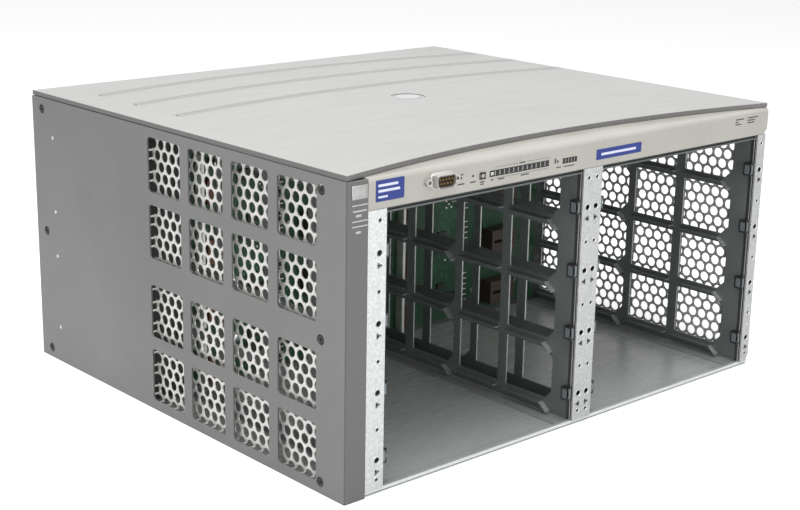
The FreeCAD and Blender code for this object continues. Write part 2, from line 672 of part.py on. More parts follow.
def port_outline(sketch, long, short, tall):
    """The D outline of the serial port, wider at the top."""
    low = "%s - (%s) / 2" % (PORT_Z, tall)
    high = "%s + (%s) / 2" % (PORT_Z, tall)
    loop(sketch, [("%s - (%s) / 2" % (PORT_X, short), low),
                  ("%s + (%s) / 2" % (PORT_X, short), low),
                  ("%s + (%s) / 2" % (PORT_X, long), high),
                  ("%s - (%s) / 2" % (PORT_X, long), high)])


def pin_places():
    """Five pins in the upper row and four in the lower."""
    return [("%s + %.1f * pin_step" % (PORT_X, index - (count - 1) / 2),
             "%s + %.1f * pin_row" % (PORT_Z, row))
            for row, count in ((0.5, 5), (-0.5, 4)) for index in range(count)]


def serial_port():
    """Nine-way port: metal shell with flange, moulded insert, pins and jack posts."""
    shell = new_body("serial_port_shell")
    outer = sketch_on(shell, "XZ_Plane", "port_reach")
    port_outline(outer, "port_long", "port_short", "port_tall")
    pad(shell, outer, "port_reach + bezel_wall + gauge", reverse=True)
    flange = sketch_on(shell, "XZ_Plane", "-bezel_wall")
    rectangle(flange, PORT_X + " - port_flange_long / 2", PORT_Z + " - port_flange_tall / 2",
              "port_flange_long", "port_flange_tall")
    pad(shell, flange, "gauge", reverse=True)
    hollow = sketch_on(shell, "XZ_Plane")
    port_outline(hollow, "port_long - 2 * port_wall", "port_short - 2 * port_wall",
                 "port_tall - 2 * port_wall")
    for shift in ("-", "+"):
        polygon(hollow, "%s %s post_offset" % (PORT_X, shift), PORT_Z, "post_bore + seat", 8)
    cut_through(shell, hollow)
    keep(shell, "serial_port_shell")

    insert = new_body("serial_port_insert")
    core = sketch_on(insert, "XZ_Plane", "-insert_reach")
    port_outline(core, "port_long - 2 * port_wall", "port_short - 2 * port_wall",
                 "port_tall - 2 * port_wall")
    for across, up in pin_places():
        polygon(core, across, up, "pin_radius", 6)
    pad(insert, core, "board_front - insert_reach", reverse=True)
    keep(insert, "serial_port_insert")

    pins = [peg(6, "pin_radius", "pin_tip + board_front", across, "-pin_tip", up)
            for across, up in pin_places()]
    keep(group(pins), "serial_port_pins")

    posts = []
    for shift in ("-", "+"):
        across = "%s %s post_offset" % (PORT_X, shift)
        hexagon = peg(6, "post_across - seat", "post_reach + bezel_wall", across,
                      "-post_reach", PORT_Z)
        bore = rod("post_bore", "post_reach", across, "-post_reach", PORT_Z)
        stud = peg(8, "post_bore", "gauge * 2", across, "bezel_wall", PORT_Z)
        posts.append(fuse(cut(hexagon, bore), stud))
    keep(group(posts), "serial_jack_posts")


def buttons():
    """Square mode button and two recessed pin buttons, each with a collar behind the bezel."""
    cap = box("mode_long", "button_end + mode_proud", "mode_tall", MODE_X + " - mode_long / 2",
              "-mode_proud", MODE_Z + " - mode_tall / 2")
    rim = box("mode_long + 2 * collar", "collar", "mode_tall + 2 * collar",
              MODE_X + " - mode_long / 2 - collar", "bezel_wall + seat",
              MODE_Z + " - mode_tall / 2 - collar")
    keep(fuse(cap, rim), "mode_button")
    for name, across in (("reset_button", RESET_X), ("clear_button", CLEAR_X)):
        stem = peg(8, "pin_button", "button_end - pin_sink", across, "pin_sink", PIN_Z)
        rim = peg(8, "pin_button + collar", "collar", across, "bezel_wall + seat", PIN_Z)
        keep(fuse(stem, rim), name)
    front = "button_end + switch_gap"
    bodies = [box("2 * switch_half", "board_front - button_end - switch_gap",
                  "2 * switch_half", across + " - switch_half", front, up + " - switch_half")
              for across, up in ((MODE_X, MODE_Z), (RESET_X, PIN_Z), (CLEAR_X, PIN_Z))]
    keep(group(bodies), "push_switches")


def lamp_windows():
    """Dark lamp window with a row of cells, and the smaller selector window."""
    strip = new_body("lamp_window")
    face = sketch_on(strip, "XZ_Plane", "0")
    rectangle(face, LAMP_LEFT + " + seat", LAMP_LOW + " + seat",
              "lamp_long + lamp_box - 2 * seat", "lamp_tall - 2 * seat")
    pad(strip, face, "board_front", reverse=True)
    cells = sketch_on(strip, "XZ_Plane", "0")
    rectangle(cells, LAMP_LEFT + " + lamp_box + gauge", LAMP_LOW + " + gauge", "lamp_cell",
              "lamp_tall - 2 * gauge")
    first = cut_depth(strip, cells, "lamp_cut")
    repeat(strip, first, cells, ("H_Axis", "lamp_long / lamp_rows", "lamp_rows"))
    keep(strip, "lamp_window")
    selector = new_body("selector_window")
    face = sketch_on(selector, "XZ_Plane", "0")
    rectangle(face, PICK_LEFT + " + seat", PICK_LOW + " + seat", "pick_long - 2 * seat",
              "pick_tall - 2 * seat")
    pad(selector, face, "board_front", reverse=True)
    keep(selector, "selector_window")


def control_board():
    board = box("board_long", "board_gauge", "board_tall", CONTROLS_LEFT + " + board_left",
                "board_front", BEZEL_LOW + " + board_low")
    keep(group([board]), "control_board")


# ---- backplane ----------------------------------------------------------------------------

def backplane():
    """Sheet bulkhead, the green board on its front, one socket per slot, and its screws."""
    wall = box("2 * " + INNER_HALF, "gauge", WALL_TOP + " - floor_gauge", "-" + INNER_HALF,
               "bulkhead_front", "floor_gauge")
    keep(group([wall]), "rear_bulkhead")
    board = box("%s - %s - 2 * plane_margin" % (RIGHT_BAY, LEFT_BAY), "plane_gauge",
                "height - plane_high - plane_low", LEFT_BAY + " + plane_margin", BOARD_FRONT,
                "plane_low")
    keep(group([board]), "backplane_board")
    front = BOARD_FRONT + " - socket_reach"
    sockets = []
    for bay in (LEFT_BAY, DIVIDER_RIGHT):
        for row in range(int(value("slot_rows"))):
            up = "slot_low + guide_low + socket_low + %d * %s" % (row, SLOT_PITCH)
            block = box("socket_long", "socket_reach", "socket_tall", bay + " + socket_x", front,
                        up)
            slit = box("socket_long - 2 * socket_slot", "socket_reach / 2", "socket_slot",
                       bay + " + socket_x + socket_slot", front,
                       up + " + socket_tall / 2 - socket_slot / 2")
            sockets.append(cut(block, slit))
    keep(group(sockets), "backplane_sockets")
    screws = []
    for bay in (LEFT_BAY, DIVIDER_RIGHT):
        for across in ("socket_x - 4 * socket_slot", "socket_x + socket_long + 4 * socket_slot"):
            for row in (0, 2):
                up = "slot_low + (%d + 0.5) * %s" % (row, SLOT_PITCH)
                screws.append(peg(8, "board_screw", "gauge * 1.5", "%s + %s" % (bay, across),
                                  BOARD_FRONT + " - gauge * 1.5", up))
    keep(group(screws), "backplane_screws")


# ---- rear ---------------------------------------------------------------------------------

def grille_cells(centre, up):
    """Six-sided cells of one fan grille: a middle cell and a ring round it."""
    cells = []
    for column in range(-1, 2):
        for row in range(-1, 2):
            if abs(column + row) > 1:
                continue
            across = "%s + grille_pitch * %.5f" % (centre, column * math.cos(math.pi / 6))
            rise = "%s + grille_pitch * %.1f" % (up, row + column / 2)
            cells.append(peg(6, "grille_cell", "gauge * 3", across, "depth - gauge * 2", rise))
    return cells


def rear_panel():
    """Rear sheet with a grille over each fan and an opening for each power supply."""
    panel = box("2 * " + INNER_HALF, "gauge", COVER_TOP, "-" + INNER_HALF, "depth - gauge",
                "0")
    tools = []
    for index in range(FANS):
        tools += grille_cells("%d * %s" % (index - 1, FAN_STEP), FAN_RISE)
    for side in (-1, 1):
        tools.append(box("supply_width + 2 * supply_fit", "gauge * 3",
                         "supply_height + 2 * supply_fit",
                         "%d * %s / 2 - supply_width / 2 - supply_fit" % (side, SUPPLY_STEP),
                         "depth - gauge * 2", "supply_low - supply_fit"))
    keep(cut(panel, group(tools)), "rear_panel")


def fan(number, centre):
    """Square fan frame with a bore, a motor seat on struts, and a bladed rotor."""
    back = "depth - gauge - fan_depth"
    frame = box("fan_size", "fan_depth", "fan_size", centre + " - fan_size / 2", back,
                FAN_RISE + " - fan_size / 2")
    bore = peg(24, "fan_bore", "fan_depth", centre, back, FAN_RISE)
    seat = peg(12, "hub_radius", "strut_depth", centre, "depth - gauge - strut_depth",
               FAN_RISE)
    arms = [box("2 * fan_bore + gauge", "strut_depth", "strut",
                centre + " - fan_bore - gauge / 2", "depth - gauge - strut_depth",
                FAN_RISE + " - strut / 2"),
            box("strut", "strut_depth", "2 * fan_bore + gauge", centre + " - strut / 2",
                "depth - gauge - strut_depth", FAN_RISE + " - fan_bore - gauge / 2")]
    keep(fuse(cut(frame, bore), seat, *arms), "fan_frame_%d" % number)

    rotor_front = back + " + gauge"
    rotor_deep = "fan_depth - strut_depth - hub_gap - gauge"
    hub = peg(14, "hub_radius", rotor_deep, centre, rotor_front, FAN_RISE)
    boss = peg(14, "hub_boss", "hub_rise", centre, rotor_front + " - hub_rise", FAN_RISE)
    blades = []
    for index in range(BLADES):
        blade = box("blade_chord", "blade_gauge", "blade_tip - hub_radius + strut", "0", "0",
                    "0")
        turn = FreeCAD.Rotation(FreeCAD.Vector(0, 1, 0), 360 * index / BLADES)
        pitch = FreeCAD.Rotation(FreeCAD.Vector(0, 0, 1), value("blade_angle"))
        blade.Placement.Rotation = turn.multiply(pitch)
        corner = turn.multVec(FreeCAD.Vector(0, 0, 1))
        lean = turn.multiply(pitch).multVec(FreeCAD.Vector(-0.5, 0, 0))
        place(blade,
              "%s + (hub_radius - strut) * %.6f + blade_chord * %.6f" % (
                  centre, corner.x, lean.x),
              "%s + (%s) / 2 + blade_chord * %.6f" % (rotor_front, rotor_deep, lean.y),
              "%s + (hub_radius - strut) * %.6f + blade_chord * %.6f" % (
                  FAN_RISE, corner.z, lean.z))
        blades.append(blade)
    keep(fuse(hub, boss, *blades), "fan_rotor_%d" % number)


def power_supply(number, centre):
    """Slide-in power supply: case, faceplate with vents, mains inlet, pins and handle."""
    left = centre + " - supply_width / 2"
    case = box("supply_width", SUPPLY_LENGTH, "supply_height", left,
               "depth - " + SUPPLY_LENGTH, "supply_low")
    plate = box("supply_width + 2 * supply_rim", "supply_plate",
                "supply_height + 2 * supply_rim", left + " - supply_rim", "depth",
                "supply_low - supply_rim")
    inlet = box("inlet_long", "inlet_depth + supply_plate", "inlet_tall",
                centre + " + inlet_shift - inlet_long / 2", "depth - inlet_depth",
                "supply_low + inlet_rise - inlet_tall / 2")
    vents = [box("vent_long", "gauge * 3", "vent_step / 2",
                 left + " + 2 * supply_rim", "depth + supply_plate - gauge * 3",
                 "supply_low + 2 * supply_rim + %d * vent_step" % index)
             for index in range(int(value("vent_rows")))]
    keep(cut(fuse(case, plate), fuse(inlet, *vents)), "power_supply_%d" % number)

    block = box("inlet_long", "inlet_depth + supply_plate", "inlet_tall",
                centre + " + inlet_shift - inlet_long / 2", "depth - inlet_depth",
                "supply_low + inlet_rise - inlet_tall / 2")
    cavity = box("inlet_long - 2 * inlet_wall", "inlet_depth + supply_plate - inlet_wall",
                 "inlet_tall - 2 * inlet_wall",
                 centre + " + inlet_shift - inlet_long / 2 + inlet_wall",
                 "depth - inlet_depth + inlet_wall",
                 "supply_low + inlet_rise - inlet_tall / 2 + inlet_wall")
    keep(cut(block, cavity), "power_inlet_%d" % number)
    pins = [box("inlet_pin", "inlet_depth - 2 * inlet_wall", "2 * inlet_pin",
                "%s + inlet_shift + %d * inlet_tall / 3 - inlet_pin / 2" % (centre, side),
                "depth - inlet_depth + inlet_wall",
                "supply_low + inlet_rise - inlet_pin + %s" % lift)
            for side, lift in ((-1, "0"), (1, "0"), (0, "inlet_pin"))]
    keep(group(pins), "power_inlet_pins_%d" % number)

    grip_left = "%s - handle_long / 2" % centre
    rear = "depth + supply_plate"
    grip = fuse(box("handle_long", "handle_bar * 1.5", "handle_bar * 2", grip_left,
                    rear + " + handle_reach - handle_bar * 1.5", "supply_low + handle_rise"),
                box("handle_bar", "handle_reach", "handle_bar * 2", grip_left, rear,
                    "supply_low + handle_rise"),
                box("handle_bar", "handle_reach", "handle_bar * 2",
                    grip_left + " + handle_long - handle_bar", rear,
                    "supply_low + handle_rise"))
    keep(grip, "power_handle_%d" % number)


def supply_screws():
    """Captive thumb screws at the ends of both power supply faceplates."""
    screws = []
    for side in (-1, 1):
        for end in (-1, 1):
            across = "%d * %s / 2 + %d * (supply_width / 2 - supply_rim)" % (
                side, SUPPLY_STEP, end)
            screws.append(peg(12, "supply_screw", "supply_rim", across,
                              "depth + supply_plate", "supply_low + handle_rise + handle_bar"))
    keep(group(screws), "supply_thumb_screws")


def main_board():
    """Switching board above the power supplies with three finned heat sinks."""
    front = "bulkhead_front + gauge"
    long = "depth - main_end - %s" % front
    board = box("2 * main_half", long, "board_gauge", "-main_half", front, "main_low")
    keep(group([board]), "main_board")
    back = "%s + (%s) / 2 - sink_half" % (front, long)
    sinks = []
    for index in range(int(value("sink_count"))):
        centre = "%d * sink_step" % (index - 1)
        block = box("2 * sink_half", "2 * sink_half", "sink_tall", centre + " - sink_half",
                    back, "main_low + board_gauge")
        gaps = [box("fin_cut", "2 * sink_half", "sink_tall - fin_cut",
                    "%s - sink_half + %d * fin_step + fin_cut" % (centre, fin),
                    back, "main_low + board_gauge + fin_cut")
                for fin in range(int(value("fin_gaps")))]
        sinks.append(cut(block, fuse(*gaps)))
    keep(group(sinks), "heat_sinks")


# ---- build, check and write ---------------------------------------------------------------

base_tray()
left_side_cover()
right_side_cover()
cover_fasteners("left", -1)
cover_fasteners("right", 1)
vent_screen("left_vent_screen", -1)
vent_screen("right_vent_screen", 1)
top_cover()
left_front_strip()
centre_front_strip()
right_front_strip()
cross_rail()
for wall_name, (wall_plane, wall_side) in CARD_WALLS.items():
    card_wall(wall_name, wall_plane, wall_side)
    module_catches(wall_name.replace("wall", "catches"), wall_plane, wall_side)
front_bezel()
serial_port()
buttons()
lamp_windows()
control_board()
backplane()
rear_panel()
for fan_index in range(FANS):
    fan(fan_index + 1, "%d * %s" % (fan_index - 1, FAN_STEP))
for supply_index in range(SUPPLIES):
    power_supply(supply_index + 1, "%d * %s / 2" % (2 * supply_index - 1, SUPPLY_STEP))
supply_screws()
main_board()
doc.recompute()

for item in doc.Objects:
    if "Invalid" in item.State or "Error" in item.State:
        raise RuntimeError("%s (%s) failed: %s" % (item.Name, item.Label, item.State))
for node in nodes:
    if node.Shape.isNull() or not node.Shape.isValid() or not node.Shape.Solids:
        raise RuntimeError(node.Label + " has no valid solid")

os.makedirs("parts", exist_ok=True)
for node in nodes:
    node.Shape.exportStep(os.path.join("parts", node.Label + ".step"))
    print("%-24s %3d solids %12.1f mm3" % (node.Label, len(node.Shape.Solids),
                                           node.Shape.Volume))
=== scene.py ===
"""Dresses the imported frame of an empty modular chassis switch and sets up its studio."""

import math
from contextlib import contextmanager

import bmesh
import bpy
from bpy.props import FloatProperty, FloatVectorProperty, IntProperty, PointerProperty
from mathutils import Matrix, Vector


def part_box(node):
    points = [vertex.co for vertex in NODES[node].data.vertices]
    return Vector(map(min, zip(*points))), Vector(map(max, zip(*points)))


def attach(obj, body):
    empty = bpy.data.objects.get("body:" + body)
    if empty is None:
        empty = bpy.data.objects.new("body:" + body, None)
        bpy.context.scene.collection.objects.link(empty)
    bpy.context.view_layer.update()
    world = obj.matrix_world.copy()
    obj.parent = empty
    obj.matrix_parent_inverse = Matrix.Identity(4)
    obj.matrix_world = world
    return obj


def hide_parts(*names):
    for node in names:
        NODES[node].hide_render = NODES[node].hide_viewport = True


bl_info = {
    "name": "Chassis Switch Dressing",
    "version": (1, 0, 0),
    "blender": (4, 5, 0),
    "location": "View3D > Sidebar > Chassis",
    "description": "Finishes and fine pieces of an empty modular chassis switch",
    "category": "Object",
}

MM = 0.001
CHASSIS = "chassis"

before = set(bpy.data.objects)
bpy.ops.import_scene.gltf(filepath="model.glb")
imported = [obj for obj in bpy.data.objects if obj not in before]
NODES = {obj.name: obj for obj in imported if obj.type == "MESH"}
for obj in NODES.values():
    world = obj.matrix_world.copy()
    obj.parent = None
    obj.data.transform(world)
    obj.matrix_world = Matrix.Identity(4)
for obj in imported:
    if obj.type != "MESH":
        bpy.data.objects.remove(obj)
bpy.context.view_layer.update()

LEFT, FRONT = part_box("left_side_cover")[0].xy
LID_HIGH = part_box("top_cover")[1]
BOARD_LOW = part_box("backplane_board")[0]
FRONT_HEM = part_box("base_tray")[1].z
FOOT_TOP = 3.9 * MM


# ---- settings -----------------------------------------------------------------------------

def colour(name, description, shade):
    return FloatVectorProperty(name=name, description=description, default=shade,
                               size=3, min=0.0, max=1.0, subtype="COLOR")


def length(name, description, amount):
    return FloatProperty(name=name, description=description, default=amount * MM,
                         unit="LENGTH", precision=5)


class FinishColours(bpy.types.PropertyGroup):
    """Colours of the paints, metals and plastics."""
    case_paint: colour("Case paint", "Satin grey of covers and column", (0.222, 0.224, 0.222))
    lid_paint: colour("Lid paint", "Warm grey of the lid", (0.39, 0.386, 0.378))
    inner_paint: colour("Inner sheet", "Greenish grey of the tray", (0.45, 0.47, 0.455))
    wall_paint: colour("Card wall", "Dark greenish grey of the walls", (0.145, 0.16, 0.16))
    # Bare metal of the walls' cut faces, and a painted highlight on every face that looks to
    # the front or back.
    cut_edge_and_highlight: colour("Cut edge", "Bare metal on the walls' cut edges", (0.50, 0.515, 0.50))
    zinc: colour("Zinc", "Spangled zinc of the front strips", (0.68, 0.70, 0.69))
    screen_metal: colour("Screen metal", "Bright sheet of the screens", (0.80, 0.79, 0.76))
    bezel: colour("Bezel", "Moulded plastic of the bezel", (0.43, 0.42, 0.38))
    label_blue: colour("Label blue", "Blue of the blank labels", (0.012, 0.033, 0.215))
    print_white: colour("Print white", "Pale print on column and labels", (0.74, 0.75, 0.76))
    print_dark: colour("Print dark", "Dark print on the bezel", (0.045, 0.045, 0.045))
    board_green: colour("Board green", "Solder mask of the boards", (0.014, 0.06, 0.029))
    black_plastic: colour("Black plastic", "Catches, fans and handles", (0.018, 0.018, 0.019))
    nickel: colour("Nickel", "Plated port shell and posts", (0.66, 0.64, 0.60))


class ScreenPattern(bpy.types.PropertyGroup):
    """Round holes of the vent screens, in staggered rows."""
    pitch: length("Pitch", "From hole to hole along a row", 9.6)
    hole: length("Hole radius", "Radius of the round holes", 3.95)
    gauge: length("Sheet", "Thickness of the perforated sheet", 0.8)
    sides: IntProperty(name="Hole sides", description="Straight sides of each round hole",
                       default=12, min=12, max=24)


class SheetEdges(bpy.types.PropertyGroup):
    """Bends and corners of the side covers."""
    gauge: length("Sheet", "Thickness of the cover sheet", 1.2)
    fold: length("Fold", "Outer radius of the vertical fold", 1.1)
    window_corner: length("Window corner", "Corner radius of the windows", 2.6)
    break_edge: length("Broken edge", "Width of the softened cut edges", 0.15)
    screw_hole: length("Screw hole", "Radius of the hole round each cover screw", 3.7)
    rivet_hole: length("Rivet hole", "Radius of the hole under each rivet", 1.5)


class BlankPlaces(bpy.types.PropertyGroup):
    """Badges and labels, all left blank; heights are above the floor."""
    badge_left: length("Badge left", "From the case's left side", 3.9)
    badge_wide: length("Badge width", "Width of the column badge", 12.8)
    badge_low: length("Badge foot", "Lower edge of the column badge", 206.2)
    badge_tall: length("Badge height", "Height of the column badge", 9.1)
    badge_proud: length("Badge relief", "How far the badge stands out", 0.6)
    oval_x: length("Lid badge across", "Middle of the lid badge", 5.0)
    oval_y: length("Lid badge along", "Middle of the lid badge", -3.0)
    oval_long: length("Lid badge half length", "Half of its longer axis", 10.8)
    oval_short: length("Lid badge half width", "Half of its shorter axis", 9.0)
    oval_sink: length("Lid badge depth", "From the lid's top to the dimple's floor", 1.2)
    label_gauge: length("Label thickness", "Thickness of labels and print", 0.12)


class Studio(bpy.types.PropertyGroup):
    """Place and lens of the camera, and levels of the light."""
    camera_x: FloatProperty(name="Camera X", description="Across, from the middle",
                            default=-0.8226, unit="LENGTH")
    camera_y: FloatProperty(name="Camera Y", description="In front of the middle",
                            default=-0.9143, unit="LENGTH")
    camera_z: FloatProperty(name="Camera Z", description="Above the floor",
                            default=0.4344, unit="LENGTH")
    azimuth: FloatProperty(name="Azimuth", description="Turn about the upright",
                           default=math.radians(-42.05), subtype="ANGLE")
    elevation: FloatProperty(name="Elevation", description="Angle above the floor",
                             default=math.radians(15.65), subtype="ANGLE")
    roll: FloatProperty(name="Roll", description="Turn about the line of sight",
                        default=math.radians(1.05), subtype="ANGLE")
    lens: FloatProperty(name="Lens", description="Focal length", default=69.6,
                        unit="CAMERA")
    key_power: FloatProperty(name="Key light", description="Lamp over the lid",
                             default=26.0, min=0.0, unit="POWER")
    fill_power: FloatProperty(name="Fill light", description="Lamp in front of the bays",
                              default=7.0, min=0.0, unit="POWER")
    side_power: FloatProperty(name="Side light", description="Lamp on the left side",
                              default=2.5, min=0.0, unit="POWER")
    sky: FloatProperty(name="Sky", description="Level of the even light", default=0.5,
                       min=0.0)


# ---- making finishes ----------------------------------------------------------------------

class Finish:
    """A material in the making: its shader and the nodes that vary it."""

    def __init__(self, name):
        self.material = bpy.data.materials.new(name)
        self.material.use_nodes = True
        self.tree = self.material.node_tree
        self.shader = self.tree.nodes["Principled BSDF"]
        self.place = self.add("TexCoord").outputs["Object"]

    def add(self, kind, **sockets):
        node = self.tree.nodes.new("ShaderNode" + kind)
        for socket, amount in sockets.items():
            node.inputs[socket.replace("_", " ")].default_value = amount
        return node

    def link(self, source, target):
        self.tree.links.new(source, target)

    def stretched(self, scale):
        """The place, stretched by a factor on each axis."""
        mapping = self.add("Mapping", Scale=scale)
        self.link(self.place, mapping.inputs["Vector"])
        return mapping.outputs["Vector"]

    def noise(self, scale, detail=3.0, roughness=0.55, place=None):
        node = self.add("TexNoise", Scale=scale, Detail=detail, Roughness=roughness)
        self.link(place or self.place, node.inputs["Vector"])
        return node.outputs["Fac"]

    def cells(self, scale, place=None, output="Distance", metric="EUCLIDEAN"):
        node = self.add("TexVoronoi", Scale=scale)
        node.distance = metric
        self.link(place or self.place, node.inputs["Vector"])
        return node.outputs[output]

    def shades(self, factor, *stops):
        """Colours along a factor; a stop is a place from 0 to 1 and a colour."""
        ramp = self.add("ValToRGB")
        points = ramp.color_ramp.elements
        while len(points) < len(stops):
            points.new(0.5)
        for point, (at, shade) in zip(points, stops):
            point.position = at
            point.color = (*shade, 1.0)
        self.link(factor, ramp.inputs["Fac"])
        return ramp.outputs["Color"]

    def range(self, factor, low, high, start=0.0, end=1.0):
        node = self.add("MapRange", From_Min=start, From_Max=end, To_Min=low, To_Max=high)
        self.link(factor, node.inputs["Value"])
        return node.outputs["Result"]

    def mix(self, factor, first, second, blend="MIX"):
        node = self.tree.nodes.new("ShaderNodeMix")
        node.data_type = "RGBA"
        node.blend_type = blend
        self.link(factor, node.inputs["Factor"])
        for socket, source in ((6, first), (7, second)):
            if isinstance(source, bpy.types.NodeSocket):
                self.link(source, node.inputs[socket])
            else:
                node.inputs[socket].default_value = (*source, 1.0)
        return node.outputs[2]

    def split(self, colour_source):
        node = self.add("SeparateColor")
        self.link(colour_source, node.inputs["Color"])
        return node.outputs

    def reckon(self, operation, *amounts):
        """The result of a sum on numbers and sockets."""
        node = self.add("Math")
        node.operation = operation
        for socket, amount in zip(node.inputs, amounts):
            if isinstance(amount, bpy.types.NodeSocket):
                self.link(amount, socket)
            else:
                socket.default_value = amount
        return node.outputs["Value"]

    def along(self, axis):
        """The place along one axis of the part."""
        parts = self.add("SeparateXYZ")
        self.link(self.place, parts.inputs["Vector"])
        return parts.outputs[axis]

    def facing(self, axis):
        """How squarely a face looks along an axis of the part, from 0 to 1."""
        parts = self.add("SeparateXYZ")
        self.link(self.add("NewGeometry").outputs["True Normal"], parts.inputs["Vector"])
        return self.reckon("ABSOLUTE", parts.outputs[axis])

    def near_arc(self, middle, radius, reach):
        """One on an upright arc about (0, middle), falling to nothing at its reach."""
        spot = self.add("VectorMath")
        spot.operation = "MULTIPLY"
        spot.inputs[1].default_value = (1.0, 1.0, 0.0)
        self.link(self.place, spot.inputs[0])
        away = self.add("VectorMath")
        away.operation = "DISTANCE"
        away.inputs[1].default_value = (0.0, middle, 0.0)
        self.link(spot.outputs["Vector"], away.inputs[0])
        off = self.reckon("SUBTRACT", away.outputs["Value"], radius)
        return self.range(self.reckon("ABSOLUTE", off), 1.0, 0.0, 0.0, reach)

    def bump(self, height, strength, distance):
        node = self.add("Bump", Strength=strength, Distance=distance)
        self.link(height, node.inputs["Height"])
        self.link(node.outputs["Normal"], self.shader.inputs["Normal"])

    def set(self, **sockets):
        for socket, amount in sockets.items():
            self.shader.inputs[socket.replace("_", " ")].default_value = amount

    def feed(self, **sockets):
        for socket, source in sockets.items():
            self.link(source, self.shader.inputs[socket.replace("_", " ")])


def tint(shade, factor):
    return tuple(min(1.0, part * factor) for part in shade)


WHITE = (1.0, 1.0, 1.0)


def powder_paint(name, shade, gloss=0.42, front=1.0):
    """Satin powder paint: fine orange peel, dull rubs, painted shade on the fold and on the
    front faces.
    """
    paint = Finish(name)
    slow = paint.noise(3.5, 3.0, 0.5)
    fine = paint.noise(1400.0, 2.0, 0.5)
    rubs = paint.noise(24.0, 6.0, 0.72)
    base = paint.shades(slow, (0.3, tint(shade, 0.86)), (0.7, tint(shade, 1.12)))
    speck = paint.shades(fine, (0.35, (0.88, 0.88, 0.88)), (0.65, WHITE))
    # Painted shade: faces that turn between the side and the front, round the fold, take a dark
    # copy of the paint.
    fold = paint.reckon("MULTIPLY", paint.facing("X"), paint.facing("Y"))
    coat = paint.mix(paint.range(rubs, 0.5, 1.0), base, speck, "MULTIPLY")
    # Painted shade: faces that look to the front take a copy of the paint scaled by the front
    # factor.
    coat = paint.mix(paint.range(paint.facing("Y"), 0.0, 1.0, 0.8, 0.98), coat,
                     tint(shade, front))
    paint.feed(Base_Color=paint.mix(paint.range(fold, 0.0, 1.0, 0.15, 0.45), coat,
                                    tint(shade, 0.45)),
               Roughness=paint.range(rubs, gloss - 0.06, gloss + 0.1, 0.3, 0.7))
    paint.bump(fine, 0.1, 0.0002)
    return paint.material


def rubbed_paint(name, shade, gloss, lip_painted_shade_and_bare_tone, lip_top, scuffs, arcs=()):
    """Satin paint with long fine scuffs, painted shade on slopes and its own tone below a lip.

    Painted shade lies along arcs, each given by the y of its middle and its radius.
    Upright faces below a lip take painted shade where darker, bare metal where lighter.
    """
    # Painted shade along the bead arcs: how far it reaches, and where it fades in from the
    # case's left side.
    bead_shade_reach = 7.5 * MM
    bead_shade_start, bead_shade_full = LEFT + 26 * MM, LEFT + 34 * MM
    paint = Finish(name)
    slow = paint.noise(4.0, 4.0, 0.6)
    fine = paint.noise(1300.0, 2.0, 0.5)
    streaks = paint.noise(14.0, 7.0, 0.75, paint.stretched((1.0, 7.0, 1.0)))
    crossing = paint.noise(11.0, 7.0, 0.75, paint.stretched((6.0, 1.0, 1.0)))
    base = paint.shades(slow, (0.3, tint(shade, 0.95)), (0.7, tint(shade, 1.05)))
    scuff = paint.shades(streaks, (0.62, WHITE), (0.7, tint(WHITE, scuffs)))
    coat = paint.mix(paint.range(crossing, 0.2, 1.0, 0.4, 0.65), base, scuff, "MULTIPLY")
    start = paint.range(paint.along("X"), 1.0, 0.0, bead_shade_start, bead_shade_full)
    # Painted shade: each bead arc darkens the paint beside it.
    for middle, radius in arcs:
        bead_shade = paint.near_arc(middle, radius, bead_shade_reach)
        coat = paint.mix(bead_shade, coat, paint.mix(start, tint(shade, 0.6), shade))
    level = paint.facing("Z")
    # Painted shade: sloping faces, such as the beads' sides, take a slightly darker copy of the
    # paint.
    coat = paint.mix(paint.range(level, 1.0, 0.0, 0.85, 0.95), coat, tint(shade, 0.95))
    # Upright faces below the lip take a copy of the paint scaled by the lip factor: painted
    # shade where darker, as on the lid's lip; a bare-metal tone where lighter, as on the tray's
    # hem.
    low = paint.range(paint.along("Z"), 1.0, 0.0, lip_top - 0.1 * MM, lip_top)
    lip = paint.reckon("MULTIPLY", low, paint.range(level, 1.0, 0.0, 0.3, 0.6))
    paint.feed(Base_Color=paint.mix(lip, coat, tint(shade, lip_painted_shade_and_bare_tone)),
               Roughness=paint.range(streaks, gloss - 0.05, gloss + 0.12, 0.3, 0.75))
    paint.bump(fine, 0.1, 0.0002)
    return paint.material


def pierced_sheet(name, shade, edge_bare_and_highlight, foot_painted_light):
    """Painted sheet of the card walls, with bare cut faces that also carry a painted highlight,
    and painted light on the feet in the floor's paint.
    """
    sheet = Finish(name)
    slow = sheet.noise(9.0, 4.0, 0.6)
    fine = sheet.noise(1200.0, 2.0, 0.5)
    painted = sheet.shades(slow, (0.3, tint(shade, 0.85)), (0.7, tint(shade, 1.15)))
    # Bare metal with a painted highlight, for every face that looks to the front or back.
    bare = sheet.shades(sheet.noise(420.0), (0.35, tint(edge_bare_and_highlight, 0.75)),
                        (0.65, tint(edge_bare_and_highlight, 1.1)))
    flat = sheet.range(sheet.facing("Y"), 1.0, 0.0, 0.4, 0.6)
    # Painted light: faces near the floor take the lighter tone of the floor in place of the
    # walls' paint.
    foot = sheet.range(sheet.along("Z"), 1.0, 0.0, FOOT_TOP - 0.1 * MM, FOOT_TOP + 0.1 * MM)
    sheet.feed(Base_Color=sheet.mix(foot, sheet.mix(flat, bare, painted), foot_painted_light),
               Roughness=sheet.range(fine, 0.3, 0.42, 0.3, 0.7),
               Metallic=sheet.range(flat, 0.5, 0.0))
    sheet.bump(fine, 0.06, 0.0002)
    return sheet.material


